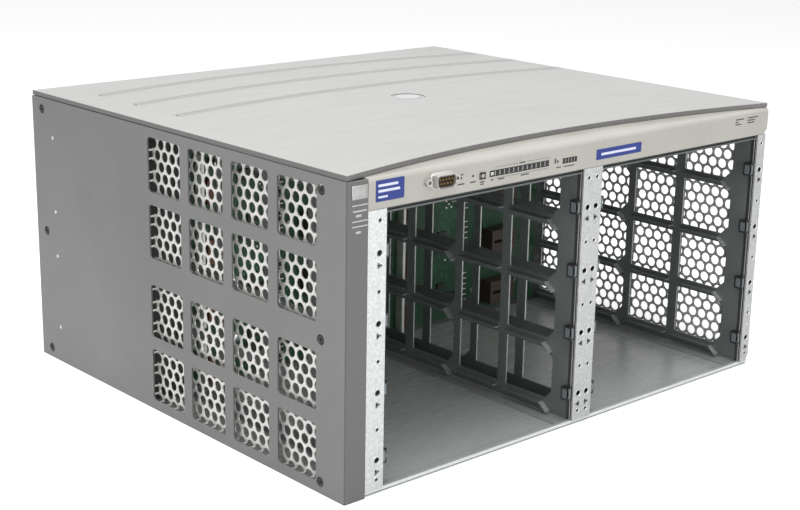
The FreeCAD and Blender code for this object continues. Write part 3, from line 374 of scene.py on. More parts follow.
def spangled_zinc(name, shade, crystal=700.0, metal=0.8, returns_painted_shade=1.0):
    """Galvanized sheet: crystal patches of differing shade and gloss, and painted shade on the
    side returns.
    """
    zinc = Finish(name)
    patches = zinc.split(zinc.cells(crystal, output="Color"))
    grain = zinc.noise(900.0, 3.0, 0.6)
    base = zinc.shades(patches["Red"], (0.1, tint(shade, 0.9)), (0.9, tint(shade, 1.05)))
    speck = zinc.shades(grain, (0.35, (0.8, 0.8, 0.8)), (0.55, WHITE))
    sheet = zinc.mix(patches["Green"], base, speck, "MULTIPLY")
    # Painted shade: faces that look to the sides, the strips' returns, take a copy of the zinc
    # scaled by the returns factor.
    fold = zinc.range(zinc.facing("X"), 0.0, 1.0, 0.7, 0.9)
    zinc.feed(Base_Color=zinc.mix(fold, sheet, tint(shade, returns_painted_shade)),
              Roughness=zinc.range(patches["Blue"], 0.36, 0.56))
    zinc.set(Metallic=metal)
    zinc.bump(grain, 0.06, 0.0002)
    return zinc.material


def bright_sheet(name, shade):
    """Bright plated sheet with soft cloudy tarnish."""
    sheet = Finish(name)
    cloud = sheet.noise(60.0, 4.0, 0.6)
    fine = sheet.noise(700.0, 2.0)
    sheet.feed(Base_Color=sheet.shades(cloud, (0.3, tint(shade, 0.88)),
                                       (0.7, tint(shade, 1.08))),
               Roughness=sheet.range(fine, 0.34, 0.48, 0.3, 0.7))
    sheet.set(Metallic=0.55)
    sheet.bump(fine, 0.05, 0.0001)
    return sheet.material


def turned_metal(name, shade, gloss, metal=1.0):
    """Plated or machined metal: fine drawn lines and small dull spots."""
    part = Finish(name)
    lines = part.noise(500.0, 3.0, 0.6, part.stretched((1.0, 1.0, 0.1)))
    spots = part.noise(120.0, 3.0)
    part.feed(Base_Color=part.shades(spots, (0.3, tint(shade, 0.86)), (0.7, tint(shade, 1.06))),
              Roughness=part.range(lines, gloss - 0.06, gloss + 0.1, 0.3, 0.7))
    part.set(Metallic=metal)
    part.bump(lines, 0.05, 0.0001)
    return part.material


def moulded_plastic(name, shade, gloss=0.45, grain=2400.0, relief=0.1):
    """Moulded plastic with a fine spark texture and slow differences in gloss."""
    part = Finish(name)
    fine = part.noise(grain, 2.0, 0.5)
    slow = part.noise(20.0, 3.0)
    base = part.shades(slow, (0.3, tint(shade, 0.96)), (0.7, tint(shade, 1.04)))
    speck = part.shades(fine, (0.3, (0.93, 0.93, 0.93)), (0.6, WHITE))
    part.feed(Base_Color=part.mix(part.range(slow, 0.4, 1.0), base, speck, "MULTIPLY"),
              Roughness=part.range(slow, gloss - 0.05, gloss + 0.07, 0.3, 0.7))
    part.bump(fine, relief, 0.0001)
    return part.material


def flat_ink(name, shade, gloss=0.4):
    """Screen print or label film, very slightly uneven."""
    ink = Finish(name)
    uneven = ink.noise(700.0, 3.0)
    ink.feed(Base_Color=ink.shades(uneven, (0.3, tint(shade, 0.9)), (0.7, tint(shade, 1.06))),
             Roughness=ink.range(uneven, gloss - 0.06, gloss + 0.08))
    return ink.material


def solder_mask(name, shade):
    """Circuit board: green mask over square-set traces, with small pads."""
    board = Finish(name)
    traces = board.cells(190.0, board.stretched((1.0, 1.0, 0.35)), "Distance", "MANHATTAN")
    pads = board.cells(430.0, None, "Distance")
    copper = board.shades(traces, (0.30, tint(shade, 1.5)), (0.36, tint(shade, 0.8)))
    dotted = board.shades(pads, (0.12, (0.45, 0.47, 0.42)), (0.16, (0.0, 0.0, 0.0)))
    patch = board.range(board.noise(40.0, 2.0), 0.0, 1.0, 0.55, 0.6)
    green = board.mix(patch, copper, tint(shade, 1.1))
    board.feed(Base_Color=board.mix(patch, green, dotted, "ADD"),
               Roughness=board.range(traces, 0.28, 0.4))
    board.bump(traces, 0.08, 0.0002)
    return board.material


# ---- modelling helpers --------------------------------------------------------------------

def put_down():
    """Leaves edit mode and deselects everything."""
    if bpy.context.mode != "OBJECT":
        bpy.ops.object.mode_set(mode="OBJECT")
    bpy.ops.object.select_all(action="DESELECT")


def pick(*pieces):
    """Selects these pieces alone and makes the first of them active."""
    put_down()
    for piece in pieces:
        piece.select_set(True)
    bpy.context.view_layer.objects.active = pieces[0]


def block(name, low, high):
    """The start of a plate or moulding: a block between two corners."""
    put_down()
    low, high = Vector(low), Vector(high)
    bpy.ops.mesh.primitive_cube_add(size=1.0, location=(low + high) / 2)
    piece = bpy.context.object
    piece.name = name
    piece.scale = high - low
    bpy.ops.object.transform_apply(location=True, rotation=True, scale=True)
    return piece


@contextmanager
def editing(piece):
    """Edit mode on one piece, entered with all of it selected."""
    pick(piece)
    bpy.ops.object.mode_set(mode="EDIT")
    bpy.ops.mesh.select_all(action="SELECT")
    yield
    bpy.ops.object.mode_set(mode="OBJECT")


def soft_block(name, low, high, width, segments=2):
    """A block between two corners with every edge rounded."""
    piece = block(name, low, high)
    with editing(piece):
        bpy.ops.mesh.bevel(offset=width, segments=segments, affect="EDGES")
    return piece


def drum(radius, depth, sides, place=(0.0, 0.0, 0.0), turn=(0.0, 0.0, 0.0)):
    """The start of a round piece: a drum along Z, turned and set at a place."""
    put_down()
    bpy.ops.mesh.primitive_cylinder_add(vertices=sides, radius=radius, depth=depth,
                                        location=place, rotation=turn)
    bpy.ops.object.transform_apply(location=True, rotation=True, scale=True)
    return bpy.context.object


def push(*shift):
    """Extrudes the selected faces by a shift."""
    bpy.ops.mesh.extrude_region_move(TRANSFORM_OT_translate={"value": shift})


def face_out(piece):
    """Turns every face of a piece outward."""
    with editing(piece):
        bpy.ops.mesh.normals_make_consistent(inside=False)


def move(piece, shift, turn=(0.0, 0.0, 0.0)):
    """Turns a piece about the origin, moves it, and applies both."""
    pick(piece)
    piece.rotation_euler = turn
    piece.location = shift
    bpy.ops.object.transform_apply(location=True, rotation=True, scale=True)


def choose(piece, wanted, kind="FACE"):
    """In edit mode, selects faces, edges or corners for which a test holds."""
    bpy.ops.mesh.select_mode(type=kind)
    bpy.ops.mesh.select_all(action="DESELECT")
    mesh = bmesh.from_edit_mesh(piece.data)
    for element in {"FACE": mesh.faces, "EDGE": mesh.edges, "VERT": mesh.verts}[kind]:
        if wanted(element):
            element.select_set(True)
    mesh.select_flush_mode()
    bmesh.update_edit_mesh(piece.data)


def copies(piece, shifts):
    """Copies of a piece, each with its own mesh, moved by each shift and joined to it."""
    pick(piece)
    bpy.ops.object.transform_apply(location=True, rotation=True, scale=True)
    made = [piece]
    for shift in shifts:
        twin = piece.copy()
        twin.data = piece.data.copy()
        bpy.context.collection.objects.link(twin)
        twin.location = shift
        made.append(twin)
    return merge(made, piece.name)


def merge(pieces, name):
    """Joins pieces into the first of them, under one name."""
    pick(*pieces)
    if len(pieces) > 1:
        bpy.ops.object.join()
    joined = bpy.context.object
    joined.name = name
    return joined


def use_modifier(piece, kind, **settings):
    """Adds a modifier with its settings and applies it."""
    pick(piece)
    modifier = piece.modifiers.new(kind.title(), kind)
    for name, setting in settings.items():
        setattr(modifier, name, setting)
    bpy.ops.object.modifier_apply(modifier=modifier.name)


def settle(piece, material, body=CHASSIS, smooth=None):
    """Applies the place, gives the finish and slot, and seats the piece on its body."""
    pick(piece)
    bpy.ops.object.transform_apply(location=True, rotation=True, scale=True)
    if smooth is not None:
        bpy.ops.object.shade_smooth_by_angle(angle=math.radians(smooth))
    if material is not None:
        piece.data.materials.clear()
        piece.data.materials.append(material)
    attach(piece, body)
    return piece


def dress(material, *names):
    """Puts a material on every slot of the named CAD nodes."""
    for name in names:
        mesh = NODES[name].data
        mesh.materials.clear()
        mesh.materials.append(material)


# ---- finishes of the CAD nodes ------------------------------------------------------------

def bead_arcs():
    """Middle and radius of the three long arcs pressed into the lid."""
    radius = 950 * MM
    return [(LID_HIGH.y - back * MM - radius, radius) for back in (34.0, 85.0, 142.0)]


def numbered(name, count):
    """Names of the CAD nodes that are numbered from 1."""
    return ["%s_%d" % (name, index) for index in range(1, count + 1)]


class CHASSIS_OT_case_finish(bpy.types.Operator):
    """Paint the covers, the lid, the tray, the walls and the bezel"""
    bl_idname = "chassis.case_finish"
    bl_label = "Case finish"

    def execute(self, context):
        shades = context.scene.finish_colours
        # The column's front faces take a painted shade of 0.58 of the paint.
        dress(powder_paint("case_paint", shades.case_paint, front=0.58),
              "left_side_cover", "right_side_cover")
        # Painted shade on the lid's lip, on its bead slopes and along its beads.
        dress(rubbed_paint("lid_paint", shades.lid_paint, 0.36, 0.42,
                           LID_HIGH.z - 0.7 * MM, 1.16, bead_arcs()), "top_cover")
        dress(rubbed_paint("inner_sheet", shades.inner_paint, 0.24, 1.6, FRONT_HEM, 1.05),
              "base_tray")
        # The walls' feet take painted light in a copy of the floor's paint.
        dress(pierced_sheet("wall_sheet", shades.wall_paint, shades.cut_edge_and_highlight,
                            tint(shades.inner_paint, 0.75)),
              "left_card_wall", "divider_left_wall", "divider_right_wall",
              "right_card_wall")
        dress(powder_paint("rail_paint", tint(shades.wall_paint, 0.75), 0.45), "cross_rail")
        # The strips' side returns take painted shade, a fifth of the zinc.
        dress(spangled_zinc("spangled_zinc", shades.zinc, returns_painted_shade=0.2), "left_front_strip")
        # Painted shade: the centre and right strips take a darker copy of the zinc.
        dress(spangled_zinc("painted_shade_zinc", tint(shades.zinc, 0.84), returns_painted_shade=0.2),
              "centre_front_strip", "right_front_strip")
        dress(spangled_zinc("plain_zinc", tint(shades.zinc, 0.5), 160.0),
              "rear_panel", *numbered("power_supply", 2))
        # Painted shade: the rear bulkhead, deep inside the bays, takes a dark copy of the
        # walls' paint.
        dress(powder_paint("bulkhead_painted_shade", tint(shades.wall_paint, 0.3), 0.6),
              "rear_bulkhead")
        dress(moulded_plastic("bezel_plastic", shades.bezel, 0.3),
              "front_bezel", "mode_button")
        return {"FINISHED"}


class CHASSIS_OT_fitting_finish(bpy.types.Operator):
    """Finish the fasteners, the controls, the boards, the fans and the power supplies"""
    bl_idname = "chassis.fitting_finish"
    bl_label = "Fitting finish"

    def execute(self, context):
        shades = context.scene.finish_colours
        dress(moulded_plastic("black_plastic", shades.black_plastic, 0.38),
              "left_card_catches", "divider_left_catches", "divider_right_catches",
              "right_card_catches", "push_switches", "reset_button", "clear_button",
              *numbered("fan_frame", 3), *numbered("power_inlet", 2),
              *numbered("power_handle", 2))
        dress(moulded_plastic("rotor_plastic", tint(shades.black_plastic, 1.6), 0.3),
              *numbered("fan_rotor", 3))
        dress(moulded_plastic("window_smoke", (0.012, 0.012, 0.013), 0.16, 300.0, 0.02),
              "lamp_window", "selector_window")
        dress(moulded_plastic("port_insert", (0.03, 0.016, 0.007), 0.9), "serial_port_insert")
        dress(moulded_plastic("socket_brown", (0.045, 0.03, 0.024), 0.5),
              "backplane_sockets")
        dress(bright_sheet("nickel_plate", tint(shades.nickel, 0.82)),
              "serial_port_shell", "serial_jack_posts", *numbered("power_inlet_pins", 2))
        dress(turned_metal("gold_plate", (0.36, 0.27, 0.10), 0.45), "serial_port_pins")
        dress(turned_metal("screw_steel", (0.5, 0.5, 0.49), 0.32),
              "backplane_screws", "supply_thumb_screws")
        dress(turned_metal("rivet_metal", (0.82, 0.82, 0.8), 0.45, 0.6),
              "left_cover_rivets", "right_cover_rivets")
        dress(turned_metal("screw_black", (0.06, 0.06, 0.064), 0.28, 0.6),
              "left_cover_screws", "right_cover_screws")
        dress(turned_metal("sink_alloy", (0.6, 0.61, 0.62), 0.35), "heat_sinks")
        dress(bright_sheet("bright_sheet", shades.screen_metal),
              "left_vent_screen", "right_vent_screen")
        dress(solder_mask("solder_mask", shades.board_green),
              "backplane_board", "control_board", "main_board")
        return {"FINISHED"}


# ---- measuring the CAD nodes --------------------------------------------------------------

def islands(faces):
    """Low and high corners of each group of faces that are joined by edges."""
    faces = set(faces)
    found = []
    while faces:
        group = [faces.pop()]
        for face in group:
            for edge in face.edges:
                for other in edge.link_faces:
                    if other in faces:
                        faces.remove(other)
                        group.append(other)
        places = [corner.co for face in group for corner in face.verts]
        found.append(tuple(tuple(bound(place[axis] for place in places) for axis in range(3))
                           for bound in (min, max)))
    return [(Vector(low), Vector(high)) for low, high in sorted(found)]


def node_islands(node, wanted=lambda face: True):
    """Corners of each group of joined faces of a CAD node for which a test holds."""
    mesh = bmesh.new()
    mesh.from_mesh(NODES[node].data)
    bmesh.ops.remove_doubles(mesh, verts=mesh.verts, dist=0.01 * MM)
    found = islands([face for face in mesh.faces if wanted(face)])
    mesh.free()
    return found


def solids_of(node):
    """Middles of the solids of a CAD node, in the order of their places."""
    return [Vector(place) for place in sorted(tuple((low + high) / 2)
                                              for low, high in node_islands(node))]


def openings_of(node, least):
    """Corners of each opening, at least so wide, that runs through a side cover."""
    low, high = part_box(node)

    def lines_an_opening(face):
        middle = face.calc_center_median()
        return (abs(face.normal.x) < 0.1 and low.y + MM < middle.y < high.y - MM
                and low.z + MM < middle.z < high.z - MM)

    return [(start, end) for start, end in node_islands(node, lines_an_opening)
            if min(end.y - start.y, end.z - start.z) > least]


def punched_places(node, least, most):
    """Middles of the openings of a front strip whose width lies between two sizes."""
    back = FRONT + 1.3 * MM

    def lines_an_opening(face):
        return abs(face.normal.y) < 0.1 and face.calc_center_median().y < back

    return [Vector(((low.x + high.x) / 2, FRONT, (low.z + high.z) / 2))
            for low, high in node_islands(node, lines_an_opening)
            if least < high.z - low.z < most and least < high.x - low.x < most]


# ---- side covers --------------------------------------------------------------------------

def cut_away(piece, tools):
    """Cuts each tool out of a piece by itself, and removes the tools."""
    for tool in tools:
        faces = len(piece.data.polygons)
        use_modifier(piece, "BOOLEAN", operation="DIFFERENCE", object=tool, solver="EXACT")
        if len(piece.data.polygons) <= faces / 2:
            raise RuntimeError("%s lost its faces to %s" % (piece.name, tool.name))
        bpy.data.objects.remove(tool)


def window_tool(start, end, corner):
    """A cutting block for one window, with round corners."""
    across = Vector((2 * MM, 0, 0))
    tool = block("window_tool", start - across, end + across)
    with editing(tool):
        choose(tool, lambda edge: abs(edge.verts[0].co.x - edge.verts[1].co.x) > MM, "EDGE")
        bpy.ops.mesh.bevel(offset=corner, segments=4, affect="EDGES")
    return tool


def fold_column(sheet, low, wide, edges):
    """Folds a side sheet round the front into a column, with a rounded bend."""
    gauge = edges.gauge

    def at_the_bend(edge):
        return all(abs(corner.co.x - low.x) < gauge / 9
                   and abs(corner.co.y - low.y) < gauge / 9 for corner in edge.verts)

    with editing(sheet):
        bpy.ops.mesh.bisect(plane_co=(0, low.y + gauge, 0), plane_no=(0, 1, 0))
        choose(sheet, lambda face: face.normal.x > 0.9
               and face.calc_center_median().y < low.y + gauge)
        push(wide - gauge, 0, 0)
        choose(sheet, at_the_bend, "EDGE")
        bpy.ops.mesh.bevel(offset=edges.fold, segments=5, affect="EDGES")


def side_sheet(side, edges):
    """A side cover with a rounded fold, rounded window corners and softened edges."""
    node = side + "_side_cover"
    low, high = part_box(node)
    gauge = edges.gauge
    folded = high.x - low.x > 2 * gauge
    sheet = block(side + "_formed_cover", low,
                  (low.x + gauge if folded else high.x, high.y, high.z))
    if folded:
        fold_column(sheet, low, high.x - low.x, edges)
    tools = [window_tool(start, end, edges.window_corner)
             for start, end in openings_of(node, 20 * MM)]
    for fasteners, radius in (("_cover_screws", edges.screw_hole),
                              ("_cover_rivets", edges.rivet_hole)):
        tools += [drum(radius, 8 * gauge, 24, (low.x, middle.y, middle.z),
                       (0, math.pi / 2, 0)) for middle in solids_of(side + fasteners)]
    cut_away(sheet, tools)
    use_modifier(sheet, "BEVEL", width=edges.break_edge, segments=1, limit_method="ANGLE",
                 angle_limit=math.radians(50))
    return sheet


class CHASSIS_OT_side_covers(bpy.types.Operator):
    """Form both side covers with their rounded folds and window corners"""
    bl_idname = "chassis.side_covers"
    bl_label = "Side covers"

    def execute(self, context):
        for side in ("left", "right"):
            sheet = side_sheet(side, context.scene.sheet_edges)
            settle(sheet, bpy.data.materials["case_paint"], smooth=35)
            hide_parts(side + "_side_cover")
        return {"FINISHED"}


# ---- vent screens -------------------------------------------------------------------------

def hole_cell(pattern):
    """One six-sided cell of the sheet with a round hole, flat on the ground plane."""
    put_down()
    bpy.ops.mesh.primitive_circle_add(vertices=pattern.sides, radius=pattern.hole)
    cell = bpy.context.object
    corner = pattern.pitch / math.sqrt(3.0)
    grow = corner / pattern.hole
    sharpness = math.cos(math.radians(30.0))

    def between_corners(vertex):
        spread = vertex.co.xy.length
        turn = math.degrees(math.atan2(vertex.co.x, vertex.co.y)) % 60.0
        return spread > 0.99 * corner and abs(turn - 30.0) < 1.0

    with editing(cell):
        bpy.ops.mesh.extrude_edges_move()
        bpy.ops.transform.resize(value=(grow, grow, 1.0))
        choose(cell, between_corners, "VERT")
        bpy.ops.transform.resize(value=(sharpness, sharpness, 1.0))
    return cell


def trim(piece, low, high):
    """Cuts a flat sheet to a rectangle on the ground plane."""
    with editing(piece):
        for place, outward in (((low[0], 0, 0), (-1, 0, 0)), ((high[0], 0, 0), (1, 0, 0)),
                               ((0, low[1], 0), (0, -1, 0)), ((0, high[1], 0), (0, 1, 0))):
            bpy.ops.mesh.select_all(action="SELECT")
            bpy.ops.mesh.bisect(plane_co=place, plane_no=outward, clear_outer=True)


def perforated_tray(name, node, pattern, outward):
    """A perforated sheet with a folded rim, in place of one screen's CAD node."""
    low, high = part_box(node)
    long, tall, deep = high.y - low.y, high.z - low.z, high.x - low.x
    row = pattern.pitch * math.cos(math.radians(30.0))
    near = pattern.gauge / 20
    sheet = copies(hole_cell(pattern), [(pattern.pitch / 2, row, 0.0)])
    sheet.name = name
    for count, shift in ((math.ceil(long / pattern.pitch) + 2, (pattern.pitch, 0.0, 0.0)),
                         (math.ceil(tall / (2 * row)) + 2, (0.0, 2 * row, 0.0))):
        use_modifier(sheet, "ARRAY", count=count, use_relative_offset=False,
                     use_constant_offset=True, constant_offset_displace=shift,
                     use_merge_vertices=True, merge_threshold=near)
    trim(sheet, (pattern.pitch, row), (pattern.pitch + long, row + tall))

    def on_outline(edge):
        ends = [vertex.co for vertex in edge.verts]
        return any(abs(ends[0][axis] - at) < near and abs(ends[1][axis] - at) < near
                   for axis, at in ((0, pattern.pitch), (0, pattern.pitch + long),
                                    (1, row), (1, row + tall)))

    with editing(sheet):
        choose(sheet, on_outline, "EDGE")
        bpy.ops.mesh.extrude_edges_move(TRANSFORM_OT_translate={"value": (0, 0, deep)})
        bpy.ops.mesh.select_all(action="SELECT")
        bpy.ops.mesh.remove_doubles(threshold=near)
        bpy.ops.mesh.normals_make_consistent(inside=False)
    if sum(face.normal.z * face.area for face in sheet.data.polygons) < 0:
        with editing(sheet):
            bpy.ops.mesh.flip_normals()
    use_modifier(sheet, "SOLIDIFY", thickness=pattern.gauge, offset=1.0)
    stand = Matrix(((0, 0, outward, 0), (1, 0, 0, 0), (0, 1, 0, 0), (0, 0, 0, 1)))
    inner = high.x if outward < 0 else low.x
    sheet.data.transform(Matrix.Translation((inner, low.y, low.z)) @ stand
                         @ Matrix.Translation((-pattern.pitch, -row, 0.0)))
    face_out(sheet)
    return sheet


class CHASSIS_OT_vent_screens(bpy.types.Operator):
    """Punch both vent screens with their staggered round holes"""
    bl_idname = "chassis.vent_screens"
    bl_label = "Vent screens"

    def execute(self, context):
        pattern = context.scene.screen_pattern
        for side, outward in (("left", -1), ("right", 1)):
            node = side + "_vent_screen"
            sheet = perforated_tray(side + "_perforated_screen", node, pattern, outward)
            settle(sheet, bpy.data.materials["bright_sheet"])
            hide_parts(node)
        return {"FINISHED"}


# ---- badges and labels --------------------------------------------------------------------

def from_left(across, up, wide, tall):
    """Left, foot, width and height, from millimetres off the case's left side and floor."""
    return LEFT + across * MM, up * MM, wide * MM, tall * MM


def bars(name, places, thick, sink=0.02 * MM):
    """Plain bars of print on the front plane; a place is left, foot, width and height."""
    made = [soft_block(name, (left, FRONT - thick, foot), (left + wide, FRONT + sink,
                                                           foot + tall), thick * 0.4, 1)
            for left, foot, wide, tall in places]
    return merge(made, name)


def film(name, left, foot, wide, tall, gauge, lift):
    """A thin blank label with round corners that follows the bezel."""
    put_down()
    bpy.ops.mesh.primitive_plane_add(size=1.0, rotation=(math.pi / 2, 0, 0),
                                     location=(left + wide / 2, FRONT - 4 * gauge,
                                               foot + tall / 2))
    label = bpy.context.object
    label.name = name
    label.scale = (wide, tall, 1.0)
    bpy.ops.object.transform_apply(location=True, rotation=True, scale=True)
    slices = 10
    with editing(label):
        bpy.ops.mesh.bevel(offset=tall * 0.06, segments=3, affect="VERTICES")
        for index in range(1, slices):
            bpy.ops.mesh.select_all(action="SELECT")
            bpy.ops.mesh.bisect(plane_co=(0, 0, foot + index * tall / slices),
                                plane_no=(0, 0, 1))
    use_modifier(label, "SHRINKWRAP", target=NODES["front_bezel"], offset=lift,
                 wrap_mode="ABOVE_SURFACE")
    use_modifier(label, "SOLIDIFY", thickness=gauge, offset=0.0)
    return label


class CHASSIS_OT_lid_badge(bpy.types.Operator):
    """Set the blank white badge into the lid's dimple"""
    bl_idname = "chassis.lid_badge"
    bl_label = "Lid badge"

    def execute(self, context):
        blanks = context.scene.blank_places
        shades = context.scene.finish_colours
        put_down()
        bpy.ops.mesh.primitive_circle_add(vertices=48, radius=1.0, fill_type="NGON",
                                          location=(blanks.oval_x, blanks.oval_y,
                                                    LID_HIGH.z - blanks.oval_sink))
        badge = bpy.context.object
        badge.name = "lid_badge"
        badge.scale = (blanks.oval_long, blanks.oval_short, 1.0)
        bpy.ops.object.transform_apply(location=True, rotation=True, scale=True)
        with editing(badge):
            push(0, 0, 0.35 * MM)
            for inset, rise in ((0.5, 0.2), (1.2, 0.0), (0.5, -0.1), (4.0, 0.05)):
                bpy.ops.mesh.inset(thickness=inset * MM, depth=rise * MM)
        face_out(badge)
        settle(badge, flat_ink("badge_white", tint(shades.print_white, 0.68), 0.4),
               smooth=30)
        return {"FINISHED"}


class CHASSIS_OT_column_badge(bpy.types.Operator):
    """Set the blank silver badge and the plain print bars on the column"""
    bl_idname = "chassis.column_badge"
    bl_label = "Column badge"

    def execute(self, context):
        blanks = context.scene.blank_places
        shades = context.scene.finish_colours
        left, proud = LEFT + blanks.badge_left, blanks.badge_proud
        plate = soft_block("column_badge", (left, FRONT - proud, blanks.badge_low),
                           (left + blanks.badge_wide, FRONT,
                            blanks.badge_low + blanks.badge_tall), proud * 0.3)
        with editing(plate):
            choose(plate, lambda face: face.normal.y < -0.99)
            for inset, depth in ((0.7, 0.0), (0.15, -0.2), (0.9, 0.0), (0.15, 0.12)):
                bpy.ops.mesh.inset(thickness=inset * MM, depth=depth * MM)
        settle(plate, turned_metal("badge_silver", (0.43, 0.43, 0.425), 0.36, 0.5),
               smooth=30)
        rules = [(4.5, up, 12.8, 0.8) for up in (201.9, 191.5, 188.1)]
        words = [(5.1, 198.0, 11.4, 1.0), (7.5, 194.7, 4.6, 1.5), (7.5, 183.9, 4.2, 1.5)]
        print_bars = bars("column_print", [from_left(*place) for place in rules + words],
                          blanks.label_gauge)
        settle(print_bars, flat_ink("print_pale", tint(shades.print_white, 0.66)))
        return {"FINISHED"}


class CHASSIS_OT_blue_labels(bpy.types.Operator):
    """Lay the two plain blue labels on the bezel, each with its plain bars"""
    bl_idname = "chassis.blue_labels"
    bl_label = "Blue labels"

    def execute(self, context):
        gauge = context.scene.blank_places.label_gauge
        blue = flat_ink("label_blue", context.scene.finish_colours.label_blue, 0.5)
        pale = flat_ink("label_print", (0.66, 0.69, 0.84), 0.35)
        labels = {
            "left_label": ((23.8, 202.0, 24.2, 14.2),
                           [(25.8, 211.6, 16.8, 1.7), (25.8, 208.0, 18.4, 1.7),
                            (25.8, 204.3, 8.0, 1.3)]),
            "right_label": ((234.0, 202.0, 50.0, 7.6), [(239.2, 204.8, 38.4, 1.8)]),
        }
        for name, (field, marks) in labels.items():
            settle(film(name, *from_left(*field), gauge, gauge), blue)
            rows = [film(name + "_bar", *from_left(*mark), gauge / 2, 2 * gauge)
                    for mark in marks]
            settle(merge(rows, name + "_bars"), pale)
        return {"FINISHED"}


# ---- bezel print --------------------------------------------------------------------------

def lamp_places():
    """Left edge, foot, length and height of the row of lamp cells."""
    low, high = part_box("lamp_window")
    return low.x, low.z, high.x - low.x, high.z - low.z


def lamp_print(line):
    """Brackets, ticks and bars over and under the row of lamps."""
    left, foot, long, tall = lamp_places()
    top = foot + tall
    first = left + 0.10 * long
    return [(first, top + 1.9 * MM, 0.36 * long, line),
            (left + 0.62 * long, top + 1.9 * MM, 0.38 * long, line),
            (first, top + 0.8 * MM, line, 1.1 * MM),
            (left + long, top + 0.8 * MM, line, 1.1 * MM),
            (left + 0.49 * long, top + 1.5 * MM, 0.1 * long, 0.9 * MM),
            (first, foot - 1.5 * MM, 0.9 * long, line),
            (left + 0.02 * long, foot - 2.6 * MM, 2.6 * MM, 0.9 * MM),
            (left + 0.14 * long, foot - 2.9 * MM, 6.0 * MM, 0.9 * MM),
            (left + 0.52 * long, foot - 3.1 * MM, 8.0 * MM, 0.9 * MM)]


def button_print():
    """Bars centred under the reset, clear and mode buttons."""
    rows = (("reset_button", 6.0, 2.9, 0.95), ("clear_button", 5.4, 2.9, 0.95),
            ("mode_button", 4.4, 2.0, 0.8), ("mode_button", 3.0, 3.5, 0.8))
    places = []
    for node, wide, drop, tall in rows:
        low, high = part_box(node)
        places.append(((low.x + high.x - wide * MM) / 2, low.z - drop * MM, wide * MM,
                       tall * MM))
    return places


def port_print():
    """A small cross of two bars beside the serial port."""
    low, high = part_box("serial_port_shell")
    start = high.x + 2.2 * MM
    middle = (low.z + high.z) / 2 + 0.6 * MM
    return [(start, middle, 3.4 * MM, 0.5 * MM),
            (start + 0.8 * MM, middle - 0.5 * MM, 0.5 * MM, 1.5 * MM)]


def selector_print():
    """Two marks to the left of the selector window and two bars under it."""
    low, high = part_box("selector_window")
    return [(low.x + across * MM, low.z + up * MM, wide * MM, tall * MM)
            for across, up, wide, tall in ((-8.2, 1.2, 1.6, 3.6), (-5.8, 1.4, 1.8, 1.8),
                                           (-6.2, -2.4, 5.0, 0.8), (1.6, -2.6, 11.0, 0.8))]


def corner_print():
    """Two groups of three bars at the bezel's right end."""
    return [from_left(across, up, wide, 0.9)
            for across, rows in ((399.0, (10.5, 3.4, 7.2)), (414.5, (13.5, 9.5, 9.0)))
            for up, wide in zip((212.2, 210.2, 208.3), rows)]


class CHASSIS_OT_bezel_print(bpy.types.Operator):
    """Print the brackets, ticks and plain bars beside the bezel's controls"""
    bl_idname = "chassis.bezel_print"
    bl_label = "Bezel print"

    def execute(self, context):
        gauge = context.scene.blank_places.label_gauge
        places = (lamp_print(0.22 * MM) + button_print() + port_print() + selector_print()
                  + corner_print())
        settle(bars("bezel_print", places, gauge / 2),
               flat_ink("print_dark", context.scene.finish_colours.print_dark, 0.45))
        return {"FINISHED"}


# ---- lamps --------------------------------------------------------------------------------

def first_lamp(left, foot, wide, tall):
    """The clear lens in the first, larger box of the row."""
    side, end = 1.1 * MM, 1.0 * MM
    lens = soft_block("first_lamp", (left + side, FRONT - 0.15 * MM, foot + end),
                      (left + wide - side, FRONT + 0.3 * MM, foot + tall - end), 0.12 * MM)
    settle(lens, moulded_plastic("lamp_clear", (0.55, 0.56, 0.52), 0.2, 400.0, 0.02),
           smooth=30)


def lamp_cells(cells):
    """Dark lenses with grey ribs between them; a cell is left, foot, width, height and rib."""
    gap, end, rib_end = 0.1 * MM, 0.9 * MM, 0.5 * MM
    lenses, ribs = [], []
    for left, foot, wide, tall, rib in cells:
        lenses.append(soft_block(
            "lens", (left + rib, FRONT - 0.02 * MM, foot + end),
            (left + wide - gap, FRONT + 0.4 * MM, foot + tall - end), 0.1 * MM))
        ribs.append(soft_block(
            "rib", (left, FRONT - 0.04 * MM, foot + rib_end),
            (left + rib - gap, FRONT + 0.4 * MM, foot + tall - rib_end), 0.08 * MM, 1))
    settle(merge(ribs, "lamp_ribs"), moulded_plastic("rib_grey", (0.36, 0.36, 0.34), 0.4),
           smooth=30)
    settle(merge(lenses, "lamp_lenses"),
           moulded_plastic("lamp_smoke", (0.02, 0.02, 0.02), 0.15, 400.0, 0.02),
           smooth=30)


def mode_ring():
    """The dark rim round the mode button."""
    low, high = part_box("mode_button")
    edge, margin = 1.7 * MM, 0.6 * MM
    proud = FRONT - low.y + 0.1 * MM
    left, foot = low.x + margin, low.z + margin / 2
    wide, tall = high.x - left - margin, high.z - foot - margin / 2
    ring = bars("mode_ring", [(left, foot, wide, edge), (left, foot + tall - edge, wide, edge),
                              (left, foot, edge, tall),
                              (left + wide - edge, foot, edge, tall)], proud)
    settle(ring, bpy.data.materials["print_dark"])


